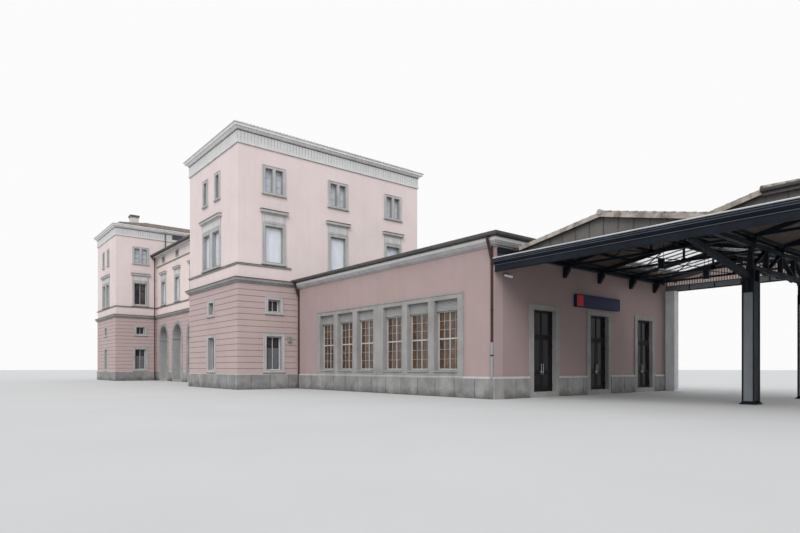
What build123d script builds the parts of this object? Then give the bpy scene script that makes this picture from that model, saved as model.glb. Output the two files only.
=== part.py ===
"""Railway station building, a half-size model.

A recessed centre with five arches stands between two taller corner towers. A low
annex joins the right tower, and beyond it stands a steel canopy of two bays.
X runs along the front from left to right, the front looks toward -Y, Z is up.
The origin is the middle of the centre block's plan, on the level of the ground.
"""
import os
from math import radians, tan
from build123d import *

os.makedirs("parts", exist_ok=True)

# One metre of the real station is 500 mm in this half-size model.
M = 500.0

# Plan of the main block
TOWER_WIDTH = 8.4 * M
TOWER_DEPTH = 14.2 * M
CENTRE_WIDTH = 22.1 * M
RECESS = 4.0 * M
TOWER_WALL = 0.6 * M
CENTRE_WALL = 0.95 * M

# Plan of the annex and of the canopy
ANNEX_LENGTH = 16.8 * M
ANNEX_SETBACK = 4.0 * M
ANNEX_DEPTH = 14.8 * M
ANNEX_WALL = 0.5 * M
BAY_WIDTH = 7.90 * M
BAY_COUNT = 2

# Levels of the main block
FLOOR_LEVEL = 0.24 * M
PLINTH_TOP = 0.90 * M
LOWER_CORNICE = (6.45 * M, 6.80 * M)
STRING_COURSE = (7.55 * M, 7.68 * M)
ATTIC_STRING = (11.85 * M, 12.0 * M)
CENTRE_TOP = 12.95 * M
FRIEZE_BOTTOM = 14.87 * M
TOWER_TOP = 15.65 * M
CORNICE_HEIGHT = 0.32 * M
CORNICE_STEP = 0.14 * M
TOWER_FLOORS = (4.1 * M, 7.0 * M, 11.3 * M)
CENTRE_FLOORS = (7.0 * M, 11.3 * M)
SLAB = 0.24 * M

# Levels of the annex
ANNEX_TOP = 6.36 * M
MOULDING = 0.20 * M
WHITE_BOARD = 0.15 * M
ANNEX_GUTTER_TOP = 6.91 * M

# How far each course stands out of the wall
PLINTH_PROUD = 0.08 * M
LOWER_CORNICE_PROUD = 0.25 * M
STRING_PROUD = 0.08 * M
FRIEZE_PROUD = 0.04 * M
CORNICE_PROUD = 0.35 * M
STEP_PROUD = 0.18 * M
CENTRE_EAVES = 0.5 * M
ANNEX_EAVES = 0.45 * M
STONE_PROUD = 0.06 * M
JOINERY_SETBACK = 0.22 * M
JOINERY_THICK = 0.08 * M
JOINERY_BAR = 0.07 * M
PANE = 0.02 * M

# Windows of the towers: light width, light height and sill level
GROUND_LIGHT = (1.05 * M, 2.11 * M, 1.18 * M)
MEZZANINE_LIGHT = (0.81 * M, 0.77 * M, 4.81 * M)
FIRST_LIGHT = (1.20 * M, 2.24 * M, 7.90 * M)
COUPLED_LIGHT = (1.15 * M, 2.24 * M, 7.90 * M)
TWIN_LIGHT = (0.50 * M, 1.47 * M, 12.24 * M)
BAND = 0.19 * M
WINDOW_AXES = 3
COUPLED_SPACING = 1.65 * M
TWIN_SPACING = 0.70 * M
NARROW_SPACING = 2.14 * M
HOOD_GAP = 0.62 * M
HOOD_HEIGHT = 0.17 * M
HOOD_PROUD = 0.22 * M
HOOD_EXTRA = 0.13 * M

# Arches and windows of the centre
ARCH_COUNT = 5
ARCH_MARGIN = 0.85 * M
ARCH_WIDTH = 2.6 * M
ARCH_SPRING = 4.3 * M
ARCH_BAND = 0.3 * M
ARCH_SETBACK = 0.72 * M
ARCH_SIDES = 24
SCREEN_RAIL = 0.14 * M
ATTIC_LIGHT = (0.70 * M, 0.45 * M, 12.25 * M)
ATTIC_BAND = 0.10 * M

# Window band of the annex
BAND_START = 2.60 * M
BAND_END_POST = 0.34 * M
BAND_POST = 0.42 * M
BAND_MIDDLE_POST = 0.87 * M
BAND_LIGHT = 1.53 * M
BAND_LIGHTS = 6
BAND_SILL = 1.20 * M
BAND_FOOT = 0.85 * M
BAND_HEAD = 4.41 * M
BAND_TOP = 4.66 * M
SHUTTER_HEIGHT = 0.49 * M
SHUTTER_THICK = 0.20 * M
SHUTTER_SETBACK = 0.12 * M
BAND_SETBACK = 0.30 * M

# Double doors in the end wall of the annex, by place along that wall
DOOR_CENTRES = (3.30 * M, 7.72 * M, 12.19 * M)
DOOR_OPENING = 1.60 * M
DOOR_BAND = 0.26 * M
DOOR_HEAD = 3.90 * M
LINTEL_TOP = 4.12 * M
DOOR_TRANSOM = 2.70 * M
TRANSOM_RAIL = 0.10 * M
LEAF_THICK = 0.05 * M
LEAF_STILE = 0.11 * M
LEAF_GLASS = 0.02 * M
DOOR_SETBACK = 0.14 * M
FRAME_FACE = 0.05 * M
LEAF_GAP = 6.0
MEETING_GAP = 8.0
HINGE_RADIUS = 8.0
HINGE_HEIGHT = 40.0
HINGE_OUT = 10.0
HINGE_GAP = 0.3
HINGE_PLATE = 3.0
HINGE_REACH = 25.0
HINGE_SHARES = (0.12, 0.84)
KNUCKLE_SIDES = 8
FRAME_THICK = 0.08 * M
DOOR_RAIL = 1.10 * M

# Roofs
TOWER_ROOF_SLOPE = 18
CENTRE_ROOF_SLOPE = 16
ANNEX_ROOF_SLOPE = 5
ROOF_SHELL = 0.20 * M
RIDGE_WIDTH = 0.30 * M
CHIMNEY_SIDE = 0.8 * M
CHIMNEY_RISE = 2.33 * M
CHIMNEY_CAP = 0.20 * M
CHIMNEY_LIP = 0.06 * M
CHIMNEY_PLACE = (3.30 * M, 3.0 * M)

# Canopy
WALL_LEVEL = 6.36 * M
FLASHING = 0.45 * M
VALLEY_LEVEL = 6.17 * M
APEX_LEVELS = (7.01 * M, 7.19 * M)
RIDGE_SHARE = 0.532
ROOF_SHEET = 0.10 * M
ROOF_FRONT = 1.05 * M
PANEL_FRONT = 1.20 * M
HIP_EAVE = 6.56 * M
HIP_SLOPE = 0.24
TRUSS_AXES = (4.8 * M, 7.7 * M, 10.7 * M, 13.2 * M)
TIE_LEVEL = 6.00 * M
TRUSS_BAR = 0.10 * M
RAFTER = 0.17 * M
TRUSS_POST = 0.07 * M
TRUSS_THICK = 0.10 * M
TRUSS_SEAT = 0.20 * M
GIRDER_BOTTOM = 4.85 * M
GIRDER_TOP = 5.80 * M
GIRDER_BAR = 0.14 * M
GIRDER_THICK = 0.16 * M
GIRDER_PANELS = 4
COLUMN_AXES = (4.8 * M, 10.7 * M)
COLUMN = (0.40 * M, 0.50 * M)
COLUMN_FLANGE = 0.04 * M
STRUT_FOOT = 4.45 * M
STRUT_DEPTH = 0.22 * M
FASCIA = (5.31 * M, 5.58 * M)
FASCIA_THICK = 0.12 * M
GUTTER = (0.20 * M, 0.25 * M, 0.03 * M)
GUTTER_RIM = 5.85 * M
FRONT_DECK = (5.80 * M, 5.88 * M)
REAR_BEAM = (5.66 * M, 6.00 * M)
GLASS_STRIP = (7.9 * M, 14.1 * M)
GLASS_MARGIN = 0.45 * M
GLASS_THICK = 0.03 * M
PILLAR_SIDE = 0.50 * M
PILLAR_CLEAR = 0.15 * M
BRACKET = (0.16 * M, 0.33 * M, 0.49 * M)
PANEL_THICK = 0.06 * M

# Small things
DOWNPIPE = 0.055 * M
PIPE_SIDES = 8
SIGN = (3.80 * M, 0.58 * M, 0.16 * M, 4.24 * M, 7.50 * M)

# Places worked out from the sizes
X_INNER = CENTRE_WIDTH / 2
X_OUTER = X_INNER + TOWER_WIDTH
Y_BACK = (TOWER_DEPTH - RECESS) / 2
Y_CENTRE = -Y_BACK
Y_FRONT = Y_BACK - TOWER_DEPTH
X_END = X_OUTER + ANNEX_LENGTH
Y_ANNEX = Y_FRONT + ANNEX_SETBACK
Y_ANNEX_BACK = Y_ANNEX + ANNEX_DEPTH
X_GIRDERS = [X_END + BAY_WIDTH * (i + 1) for i in range(BAY_COUNT)]
X_CANOPY = X_GIRDERS[-1]
TOWER_MIDDLE = X_INNER + TOWER_WIDTH / 2
CORNICE_TOP = TOWER_TOP + CORNICE_HEIGHT
CHIMNEY_TOP = CORNICE_TOP + CHIMNEY_RISE
ARCH_REACH = ARCH_WIDTH / 2 + ARCH_BAND + ARCH_MARGIN
ARCH_SPACING = (CENTRE_WIDTH - 2 * ARCH_REACH) / (ARCH_COUNT - 1)
written = []


def facing_front(y):
    """A plane at depth y whose normal looks toward the front."""
    return Plane(origin=(0, y, 0), x_dir=(1, 0, 0), z_dir=(0, -1, 0))


def facing_right(x):
    """A plane at place x whose normal looks to the right, with Y across it."""
    return Plane(origin=(x, 0, 0), x_dir=(0, 1, 0), z_dir=(1, 0, 0))


def save(piece, name):
    """Name a finished piece and write it to its own file."""
    piece.part.label = name
    export_step(piece.part, f"parts/{name}.step")
    written.append(name)


def block(x, y, z, mode=Mode.ADD):
    """A box between two places on each axis."""
    with Locations(((x[0] + x[1]) / 2, (y[0] + y[1]) / 2, (z[0] + z[1]) / 2)):
        Box(x[1] - x[0], y[1] - y[0], z[1] - z[0], mode=mode)


def rectangle(start, end, bottom, top, mode=Mode.ADD):
    """A rectangle between two places and two levels of an upright plane."""
    with Locations(((start + end) / 2, (bottom + top) / 2)):
        Rectangle(end - start, top - bottom, mode=mode)


def lights_at(places, light, count=1, spacing=0.0):
    """Rows of start, end, sill and head for one size of light at each place."""
    width, height, sill = light
    rows = []
    for place in places:
        for i in range(count):
            middle = place + (i - (count - 1) / 2) * spacing
            rows.append((middle - width / 2, middle + width / 2, sill, sill + height))
    return rows


def framed(places, light, band, count=1, spacing=0.0, hood=False):
    """Windows at several places: their lights, stone band, and hood if any."""
    windows = []
    for place in places:
        lights = lights_at([place], light, count, spacing)
        outline = (lights[0][0] - band, lights[-1][1] + band,
                   lights[0][2] - band, lights[0][3] + band)
        windows.append((lights, outline, hood))
    return windows


def mirrored(windows):
    """The same windows on the other tower, on a plane that looks to the front."""
    return [([(-b, -a, c, d) for a, b, c, d in reversed(lights)],
             (-o[1], -o[0], o[2], o[3]), hood) for lights, o, hood in windows]


def wall(plane, start, end, top, thickness, windows):
    """A straight wall behind its outer face, with its windows cut through."""
    with BuildPart() as piece:
        with BuildSketch(plane):
            rectangle(start, end, 0, top)
            for lights, outline, hood in windows:
                for light in lights:
                    rectangle(*light, mode=Mode.SUBTRACT)
        extrude(amount=-thickness)
    return piece


def stones(face_list):
    """Stone bands round the windows, with a frieze and hood over some."""
    with BuildPart() as piece:
        for plane, way, windows in face_list:
            with BuildSketch(plane):
                for lights, outline, hood in windows:
                    rectangle(*outline)
                    if hood:
                        rectangle(outline[0], outline[1], outline[3],
                                  outline[3] + HOOD_GAP)
                    for light in lights:
                        rectangle(*light, mode=Mode.SUBTRACT)
            extrude(amount=way * STONE_PROUD)
            if any(hood for lights, outline, hood in windows):
                with BuildSketch(plane):
                    for lights, outline, hood in windows:
                        if hood:
                            low = outline[3] + HOOD_GAP
                            rectangle(outline[0] - HOOD_EXTRA, outline[1] + HOOD_EXTRA,
                                      low, low + HOOD_HEIGHT)
                extrude(amount=way * HOOD_PROUD)
    return piece


def joinery(face_list, setback):
    """Timber frames inside the lights."""
    with BuildPart() as piece:
        for plane, way, windows in face_list:
            with BuildSketch(plane.offset(-way * setback)):
                for lights, outline, hood in windows:
                    for start, end, sill, head in lights:
                        rectangle(start, end, sill, head)
                        rectangle(start + JOINERY_BAR, end - JOINERY_BAR,
                                  sill + JOINERY_BAR, head - JOINERY_BAR,
                                  mode=Mode.SUBTRACT)
            extrude(amount=-way * JOINERY_THICK)
    return piece


def panes(face_list, setback):
    """One sheet of glass behind each timber frame."""
    with BuildPart() as piece:
        for plane, way, windows in face_list:
            with BuildSketch(plane.offset(-way * (setback + JOINERY_THICK))):
                for lights, outline, hood in windows:
                    for light in lights:
                        rectangle(*light)
            extrude(amount=-way * PANE)
    return piece


def main_plan(grow=0.0):
    """The outline of the main block in plan: two towers and the centre."""
    for side in (-1, 1):
        with Locations((side * TOWER_MIDDLE, (Y_FRONT + Y_BACK) / 2)):
            Rectangle(TOWER_WIDTH, TOWER_DEPTH)
    with Locations((0, 0)):
        Rectangle(CENTRE_WIDTH, Y_BACK - Y_CENTRE)
    if grow:
        offset(amount=grow, kind=Kind.INTERSECTION)


def main_course(levels, proud, annex_clear):
    """A course of stone that runs round the main block and stops at the annex."""
    with BuildPart() as piece:
        with BuildSketch(Plane.XY.offset(levels[0])):
            main_plan(proud)
            with BuildSketch(mode=Mode.PRIVATE) as core:
                main_plan()
            add(core.sketch, mode=Mode.SUBTRACT)
            if annex_clear is not None:
                block_start = Y_ANNEX - annex_clear
                with Locations((X_OUTER + proud, (block_start + Y_BACK + proud) / 2)):
                    Rectangle(2 * proud, Y_BACK + proud - block_start,
                              mode=Mode.SUBTRACT)
        extrude(amount=levels[1] - levels[0])
    return piece


# Windows of each face, by place along that face
side_axes = [Y_FRONT + TOWER_DEPTH * (i + 1 / 2) / WINDOW_AXES for i in range(WINDOW_AXES)]
front_windows = (framed([TOWER_MIDDLE], GROUND_LIGHT, BAND)
                 + framed([TOWER_MIDDLE], MEZZANINE_LIGHT, BAND)
                 + framed([TOWER_MIDDLE], COUPLED_LIGHT, BAND, 2, COUPLED_SPACING, True)
                 + framed([TOWER_MIDDLE - NARROW_SPACING / 2,
                           TOWER_MIDDLE + NARROW_SPACING / 2], TWIN_LIGHT, BAND))
upper_side = (framed(side_axes, FIRST_LIGHT, BAND, hood=True)
              + framed(side_axes, TWIN_LIGHT, BAND, 2, TWIN_SPACING))
low_side = framed(side_axes, GROUND_LIGHT, BAND) + framed(side_axes, MEZZANINE_LIGHT, BAND)
full_side = low_side + upper_side
first_axis = side_axes[:1]
joined_side = (framed(first_axis, GROUND_LIGHT, BAND)
               + framed(first_axis, MEZZANINE_LIGHT, BAND) + upper_side)
inner_side = (framed(first_axis, GROUND_LIGHT, BAND)
              + framed(first_axis, MEZZANINE_LIGHT, BAND)
              + framed(first_axis, FIRST_LIGHT, BAND, hood=True)
              + framed(first_axis, TWIN_LIGHT, BAND, 2, TWIN_SPACING))
arch_places = [(i - (ARCH_COUNT - 1) / 2) * ARCH_SPACING for i in range(ARCH_COUNT)]
centre_windows = (framed(arch_places, FIRST_LIGHT, BAND, hood=True)
                  + framed(arch_places, ATTIC_LIGHT, ATTIC_BAND))
both_fronts = front_windows + mirrored(front_windows)
tower_faces = [(facing_front(Y_FRONT), 1, both_fronts),
               (facing_front(Y_BACK), -1, both_fronts),
               (facing_right(X_INNER), -1, inner_side),
               (facing_right(-X_INNER), 1, inner_side),
               (facing_right(X_OUTER), 1, joined_side),
               (facing_right(-X_OUTER), -1, full_side)]
centre_faces = [(facing_front(Y_CENTRE), 1, centre_windows),
                (facing_front(Y_BACK), -1, centre_windows)]

# Walls of the towers: front and back run the full width, the sides stand between
with BuildPart() as tower_front_walls:
    add(wall(facing_front(Y_FRONT), X_INNER, X_OUTER, TOWER_TOP, TOWER_WALL,
             front_windows).part)
    mirror(about=Plane.YZ)
save(tower_front_walls, "tower_front_walls")

with BuildPart() as tower_back_walls:
    add(wall(facing_front(Y_BACK), X_INNER, X_OUTER, TOWER_TOP, -TOWER_WALL,
             front_windows).part)
    mirror(about=Plane.YZ)
save(tower_back_walls, "tower_back_walls")

side_span = (Y_FRONT + TOWER_WALL, Y_BACK - TOWER_WALL)
with BuildPart() as tower_inner_walls:
    add(wall(facing_right(X_INNER), *side_span, TOWER_TOP, -TOWER_WALL,
             inner_side).part)
    mirror(about=Plane.YZ)
save(tower_inner_walls, "tower_inner_walls")

right_side = wall(facing_right(X_OUTER), *side_span, TOWER_TOP, TOWER_WALL, joined_side)
save(right_side, "right_tower_side_wall")
left_side = wall(facing_right(-X_OUTER), *side_span, TOWER_TOP, -TOWER_WALL, full_side)
save(left_side, "left_tower_side_wall")


def arch_shape(place, grow=0.0, mode=Mode.ADD):
    """A round-headed opening that stands on the floor, widened by grow."""
    radius = ARCH_WIDTH / 2 + grow
    rectangle(place - radius, place + radius, FLOOR_LEVEL, ARCH_SPRING, mode=mode)
    with Locations((place, ARCH_SPRING)):
        RegularPolygon(radius, ARCH_SIDES, mode=mode)


def arcade_wall(plane, way):
    """A wall of the centre with five arches and two rows of windows."""
    with BuildPart() as piece:
        with BuildSketch(plane):
            rectangle(-X_INNER, X_INNER, 0, CENTRE_TOP)
            for place in arch_places:
                arch_shape(place, mode=Mode.SUBTRACT)
            for lights, outline, hood in centre_windows:
                for light in lights:
                    rectangle(*light, mode=Mode.SUBTRACT)
        extrude(amount=-way * CENTRE_WALL)
    return piece


arcade_faces = ((facing_front(Y_CENTRE), 1), (facing_front(Y_BACK), -1))
with BuildPart() as centre_walls:
    for plane, way in arcade_faces:
        add(arcade_wall(plane, way).part)
save(centre_walls, "centre_walls")

with BuildPart() as arch_stones:
    for plane, way in arcade_faces:
        with BuildSketch(plane):
            for place in arch_places:
                arch_shape(place, ARCH_BAND)
                arch_shape(place, mode=Mode.SUBTRACT)
        extrude(amount=way * STONE_PROUD)
save(arch_stones, "arch_stones")

with BuildPart() as arch_screens:
    for plane, way in arcade_faces:
        with BuildSketch(plane.offset(-way * ARCH_SETBACK)):
            for place in arch_places:
                half = ARCH_WIDTH / 2
                rectangle(place - half, place + half, ARCH_SPRING - SCREEN_RAIL, ARCH_SPRING)
                for post in (place - half, place - SCREEN_RAIL / 2, place + half - SCREEN_RAIL):
                    rectangle(post, post + SCREEN_RAIL, FLOOR_LEVEL, ARCH_SPRING)
        extrude(amount=-way * JOINERY_THICK)
save(arch_screens, "arch_screens")


# Stone, timber and glass of the main block's windows
main_faces = tower_faces + centre_faces
save(stones(main_faces), "main_window_stones")
save(joinery(main_faces, JOINERY_SETBACK), "main_window_frames")
with BuildPart() as main_window_panes:
    add(panes(main_faces, JOINERY_SETBACK).part)
    for plane, way in arcade_faces:
        with BuildSketch(plane.offset(-way * (ARCH_SETBACK + JOINERY_THICK))):
            for place in arch_places:
                arch_shape(place)
        extrude(amount=-way * PANE)
save(main_window_panes, "main_window_panes")

# Courses that run round the main block
with BuildPart() as main_plinth:
    add(main_course((0, PLINTH_TOP), PLINTH_PROUD, 0.0).part)
    for place in arch_places:
        half = ARCH_WIDTH / 2 + ARCH_BAND
        block((place - half, place + half), (Y_FRONT, TOWER_DEPTH), (0, PLINTH_TOP),
              Mode.SUBTRACT)
save(main_plinth, "main_plinth")
save(main_course(LOWER_CORNICE, LOWER_CORNICE_PROUD, ANNEX_EAVES), "lower_cornice")
with BuildPart() as string_courses:
    add(main_course(STRING_COURSE, STRING_PROUD, ANNEX_EAVES).part)
    for plane, way in arcade_faces:
        with BuildSketch(plane):
            rectangle(-X_INNER, X_INNER, *ATTIC_STRING)
        extrude(amount=way * STRING_PROUD)
save(string_courses, "string_courses")


def rectangle_ring(x, y, grow, shrink):
    """A rectangular ring in plan, grown outside and cut inside."""
    with Locations(((x[0] + x[1]) / 2, (y[0] + y[1]) / 2)):
        Rectangle(x[1] - x[0] + 2 * grow, y[1] - y[0] + 2 * grow)
        Rectangle(x[1] - x[0] - 2 * shrink, y[1] - y[0] - 2 * shrink,
                  mode=Mode.SUBTRACT)


def hipped(x, y, level, slope, mode=Mode.ADD):
    """A hipped solid over a rectangle, almost up to its ridge."""
    half_span = min(x[1] - x[0], y[1] - y[0]) / 2 - RIDGE_WIDTH / 2
    with BuildSketch(Plane.XY.offset(level)) as plan:
        rectangle(x[0], x[1], y[0], y[1])
    extrude(plan.sketch, amount=half_span * tan(radians(slope)), taper=90 - slope,
            mode=mode)


def hipped_roof(x, y, level, slope):
    """A hipped roof shell of even thickness with its eaves at one level."""
    with BuildPart() as piece:
        hipped(x, y, level, slope)
        inset = ROOF_SHELL / tan(radians(slope))
        hipped((x[0] + inset, x[1] - inset), (y[0] + inset, y[1] - inset),
               level, slope, mode=Mode.SUBTRACT)
    return piece


# Friezes, cornices and roofs of the towers
tower_x = (X_INNER, X_OUTER)
tower_y = (Y_FRONT, Y_BACK)
with BuildPart() as tower_friezes:
    with BuildSketch(Plane.XY.offset(FRIEZE_BOTTOM)):
        rectangle_ring(tower_x, tower_y, FRIEZE_PROUD, 0)
    extrude(amount=TOWER_TOP - FRIEZE_BOTTOM)
    mirror(about=Plane.YZ)
save(tower_friezes, "tower_friezes")

with BuildPart() as tower_cornices:
    for low, high, proud in ((TOWER_TOP, TOWER_TOP + CORNICE_STEP, STEP_PROUD),
                             (TOWER_TOP + CORNICE_STEP, CORNICE_TOP, CORNICE_PROUD)):
        with BuildSketch(Plane.XY.offset(low)):
            rectangle_ring(tower_x, tower_y, proud, TOWER_WALL)
        extrude(amount=high - low)
    mirror(about=Plane.YZ)
save(tower_cornices, "tower_cornices")

eaves_x = (X_INNER - CORNICE_PROUD, X_OUTER + CORNICE_PROUD)
eaves_y = (Y_FRONT - CORNICE_PROUD, Y_BACK + CORNICE_PROUD)
tower_roof = hipped_roof(eaves_x, eaves_y, CORNICE_TOP, TOWER_ROOF_SLOPE)
with BuildPart() as tower_roofs:
    add(tower_roof.part)
    mirror(about=Plane.YZ)
save(tower_roofs, "tower_roofs")

chimney_x = -X_OUTER + CHIMNEY_PLACE[0]
chimney_y = Y_FRONT + CHIMNEY_PLACE[1]
with BuildPart() as chimney:
    half = CHIMNEY_SIDE / 2
    block((chimney_x - half, chimney_x + half), (chimney_y - half, chimney_y + half),
          (CORNICE_TOP, CHIMNEY_TOP - CHIMNEY_CAP))
    half = CHIMNEY_SIDE / 2 + CHIMNEY_LIP
    block((chimney_x - half, chimney_x + half), (chimney_y - half, chimney_y + half),
          (CHIMNEY_TOP - CHIMNEY_CAP, CHIMNEY_TOP))
    hipped((-eaves_x[1], -eaves_x[0]), eaves_y, CORNICE_TOP, TOWER_ROOF_SLOPE,
           mode=Mode.SUBTRACT)
save(chimney, "chimney")

# Floors: ground slabs lie on the ground, upper floors span between the walls
with BuildPart() as tower_floors:
    for level in (FLOOR_LEVEL,) + TOWER_FLOORS:
        block((X_INNER + TOWER_WALL, X_OUTER - TOWER_WALL),
              (Y_FRONT + TOWER_WALL, Y_BACK - TOWER_WALL), (level - SLAB, level))
    mirror(about=Plane.YZ)
save(tower_floors, "tower_floors")

with BuildPart() as centre_floors:
    for level in (FLOOR_LEVEL,) + CENTRE_FLOORS:
        block((-X_INNER, X_INNER), (Y_CENTRE + CENTRE_WALL, Y_BACK - CENTRE_WALL),
              (level - SLAB, level))
save(centre_floors, "centre_floors")

# Roof of the centre: two slopes that meet over the middle, with a gutter each side
rise = (Y_BACK + CENTRE_EAVES) * tan(radians(CENTRE_ROOF_SLOPE))
with BuildPart() as centre_roof:
    with BuildSketch(Plane.YZ.offset(-X_INNER)):
        with BuildLine():
            Polyline((Y_CENTRE - CENTRE_EAVES, CENTRE_TOP),
                     (Y_CENTRE, CENTRE_TOP),
                     (0, CENTRE_TOP + Y_BACK * tan(radians(CENTRE_ROOF_SLOPE))),
                     (Y_BACK, CENTRE_TOP),
                     (Y_BACK + CENTRE_EAVES, CENTRE_TOP),
                     (Y_BACK + CENTRE_EAVES, CENTRE_TOP + ROOF_SHELL),
                     (0, CENTRE_TOP + ROOF_SHELL + rise),
                     (Y_CENTRE - CENTRE_EAVES, CENTRE_TOP + ROOF_SHELL), close=True)
        make_face()
    extrude(amount=CENTRE_WIDTH)
save(centre_roof, "centre_roof")

with BuildPart() as centre_gutters:
    for side in (-1, 1):
        with BuildSketch(Plane.YZ.offset(-X_INNER)):
            edge = side * (Y_BACK + CENTRE_EAVES)
            outer = edge + side * GUTTER[0]
            with BuildLine():
                Polyline((edge, CENTRE_TOP), (outer, CENTRE_TOP + GUTTER[2]),
                         (outer, CENTRE_TOP + GUTTER[1]),
                         (outer - side * GUTTER[2], CENTRE_TOP + GUTTER[1]),
                         (outer - side * GUTTER[2], CENTRE_TOP + 2 * GUTTER[2]),
                         (edge, CENTRE_TOP + GUTTER[2]), close=True)
            make_face()
        extrude(amount=CENTRE_WIDTH)
save(centre_gutters, "centre_gutters")

# Annex walls: the front holds one wide band of windows, the end wall three doors
band_span = (X_OUTER + BAND_START,
             X_OUTER + BAND_START + 2 * BAND_END_POST + BAND_LIGHTS * BAND_LIGHT
             + (BAND_LIGHTS - 2) * BAND_POST + BAND_MIDDLE_POST)
band_lights = []
place = band_span[0] + BAND_END_POST
for i in range(BAND_LIGHTS):
    band_lights.append((place, place + BAND_LIGHT, BAND_SILL, BAND_HEAD))
    place += BAND_LIGHT
    place += BAND_MIDDLE_POST if i == BAND_LIGHTS // 2 - 1 else BAND_POST
band_hole = ([(*band_span, BAND_FOOT, BAND_TOP)], None, False)
band_windows = [(band_lights, None, False)]
annex_faces = [(facing_front(Y_ANNEX), 1, band_windows),
               (facing_front(Y_ANNEX_BACK), -1, band_windows)]

annex_front = wall(facing_front(Y_ANNEX), X_OUTER, X_END, ANNEX_TOP, ANNEX_WALL,
                   [band_hole])
save(annex_front, "annex_front_wall")
annex_back = wall(facing_front(Y_ANNEX_BACK), X_OUTER, X_END, ANNEX_TOP, -ANNEX_WALL,
                  [band_hole])
save(annex_back, "annex_back_wall")

with BuildPart() as annex_side_wall:
    block((X_OUTER, X_OUTER + ANNEX_WALL), (Y_BACK, Y_ANNEX_BACK - ANNEX_WALL),
          (0, ANNEX_TOP))
save(annex_side_wall, "annex_side_wall")

with BuildPart() as annex_floor:
    block((X_OUTER, X_END - ANNEX_WALL), (Y_ANNEX + ANNEX_WALL, Y_BACK),
          (0, FLOOR_LEVEL))
    block((X_OUTER + ANNEX_WALL, X_END - ANNEX_WALL), (Y_BACK, Y_ANNEX_BACK - ANNEX_WALL),
          (0, FLOOR_LEVEL))
save(annex_floor, "annex_floor")

with BuildPart() as annex_band_stones:
    for plane, way, windows in annex_faces:
        with BuildSketch(plane):
            rectangle(*band_span, BAND_FOOT, BAND_TOP)
            for light in band_lights:
                rectangle(*light, mode=Mode.SUBTRACT)
        extrude(amount=way * STONE_PROUD)
        with BuildSketch(plane):
            rectangle(*band_span, BAND_FOOT, BAND_TOP)
            for light in band_lights:
                rectangle(*light, mode=Mode.SUBTRACT)
        extrude(amount=-way * ANNEX_WALL)
save(annex_band_stones, "annex_band_stones")

with BuildPart() as shutter_boxes:
    for plane, way, windows in annex_faces:
        with BuildSketch(plane.offset(-way * SHUTTER_SETBACK)):
            for start, end, sill, head in band_lights:
                rectangle(start, end, head - SHUTTER_HEIGHT, head)
        extrude(amount=-way * SHUTTER_THICK)
save(shutter_boxes, "shutter_boxes")

glazed = [([(a, b, c, d - SHUTTER_HEIGHT) for a, b, c, d in band_lights], None, False)]
glazed_faces = [(plane, way, glazed) for plane, way, windows in annex_faces]
save(joinery(glazed_faces, BAND_SETBACK), "annex_window_frames")
save(panes(glazed_faces, BAND_SETBACK), "annex_window_panes")

# End wall of the annex, split into piers beside the doorways and one wall over them
door_middles = [Y_ANNEX + centre for centre in DOOR_CENTRES]
half_frame = DOOR_OPENING / 2 + DOOR_BAND
pier_starts = [Y_ANNEX + ANNEX_WALL] + [middle + half_frame for middle in door_middles]
pier_ends = [middle - half_frame for middle in door_middles] + [Y_ANNEX_BACK - ANNEX_WALL]
end_x = (X_END - ANNEX_WALL, X_END)
with BuildPart() as end_wall_piers:
    for start, end in zip(pier_starts, pier_ends):
        block(end_x, (start, end), (0, LINTEL_TOP))
save(end_wall_piers, "end_wall_piers")

with BuildPart() as end_wall_over_doors:
    block(end_x, (pier_starts[0], pier_ends[-1]), (LINTEL_TOP, ANNEX_TOP))
save(end_wall_over_doors, "end_wall_over_doors")

stone_x = (X_END - ANNEX_WALL, X_END + STONE_PROUD)
with BuildPart() as door_jamb_stones:
    for middle in door_middles:
        for side in (-1, 1):
            near = middle + side * DOOR_OPENING / 2
            far = middle + side * half_frame
            block(stone_x, (min(near, far), max(near, far)), (0, DOOR_HEAD))
save(door_jamb_stones, "door_jamb_stones")

with BuildPart() as door_sills_and_lintels:
    for middle in door_middles:
        block(stone_x, (middle - half_frame, middle + half_frame),
              (DOOR_HEAD, LINTEL_TOP))
        block(stone_x, (middle - DOOR_OPENING / 2, middle + DOOR_OPENING / 2),
              (0, FLOOR_LEVEL))
save(door_sills_and_lintels, "door_sills_and_lintels")

# Door frames: a post each side, and a fixed glazed light over the leaves
leaf_face = X_END - DOOR_SETBACK
frame_x = (leaf_face - FRAME_THICK, leaf_face)
leaf_x = (leaf_face - LEAF_THICK, leaf_face)
leaf_levels = (FLOOR_LEVEL + LEAF_GAP, DOOR_TRANSOM - LEAF_GAP)
hinge_x = leaf_face + HINGE_OUT


def hinge_levels():
    """The lower end of each hinge, by share of the leaf's height."""
    height = leaf_levels[1] - leaf_levels[0]
    return [leaf_levels[0] + share * height for share in HINGE_SHARES]


def hinge_half(side, edge, low, reach, rounded):
    """One knuckle of a hinge with its plate, from the pin toward one side."""
    pin_y = edge - side * LEAF_GAP / 2
    with BuildSketch(Plane.XY.offset(low)) as plan:
        with Locations((hinge_x, pin_y)):
            if rounded:
                Circle(HINGE_RADIUS)
            else:
                RegularPolygon(HINGE_RADIUS, KNUCKLE_SIDES)
        ends = (pin_y, edge + reach)
        rectangle(leaf_face, hinge_x, min(ends), max(ends))
        ends = (pin_y, edge)
        if reach * side < 0:
            ends = (pin_y, edge - side * LEAF_GAP)
        rectangle(leaf_face, hinge_x - HINGE_PLATE, min(ends), max(ends),
                  mode=Mode.SUBTRACT)
    extrude(plan.sketch, amount=HINGE_HEIGHT)


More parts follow.
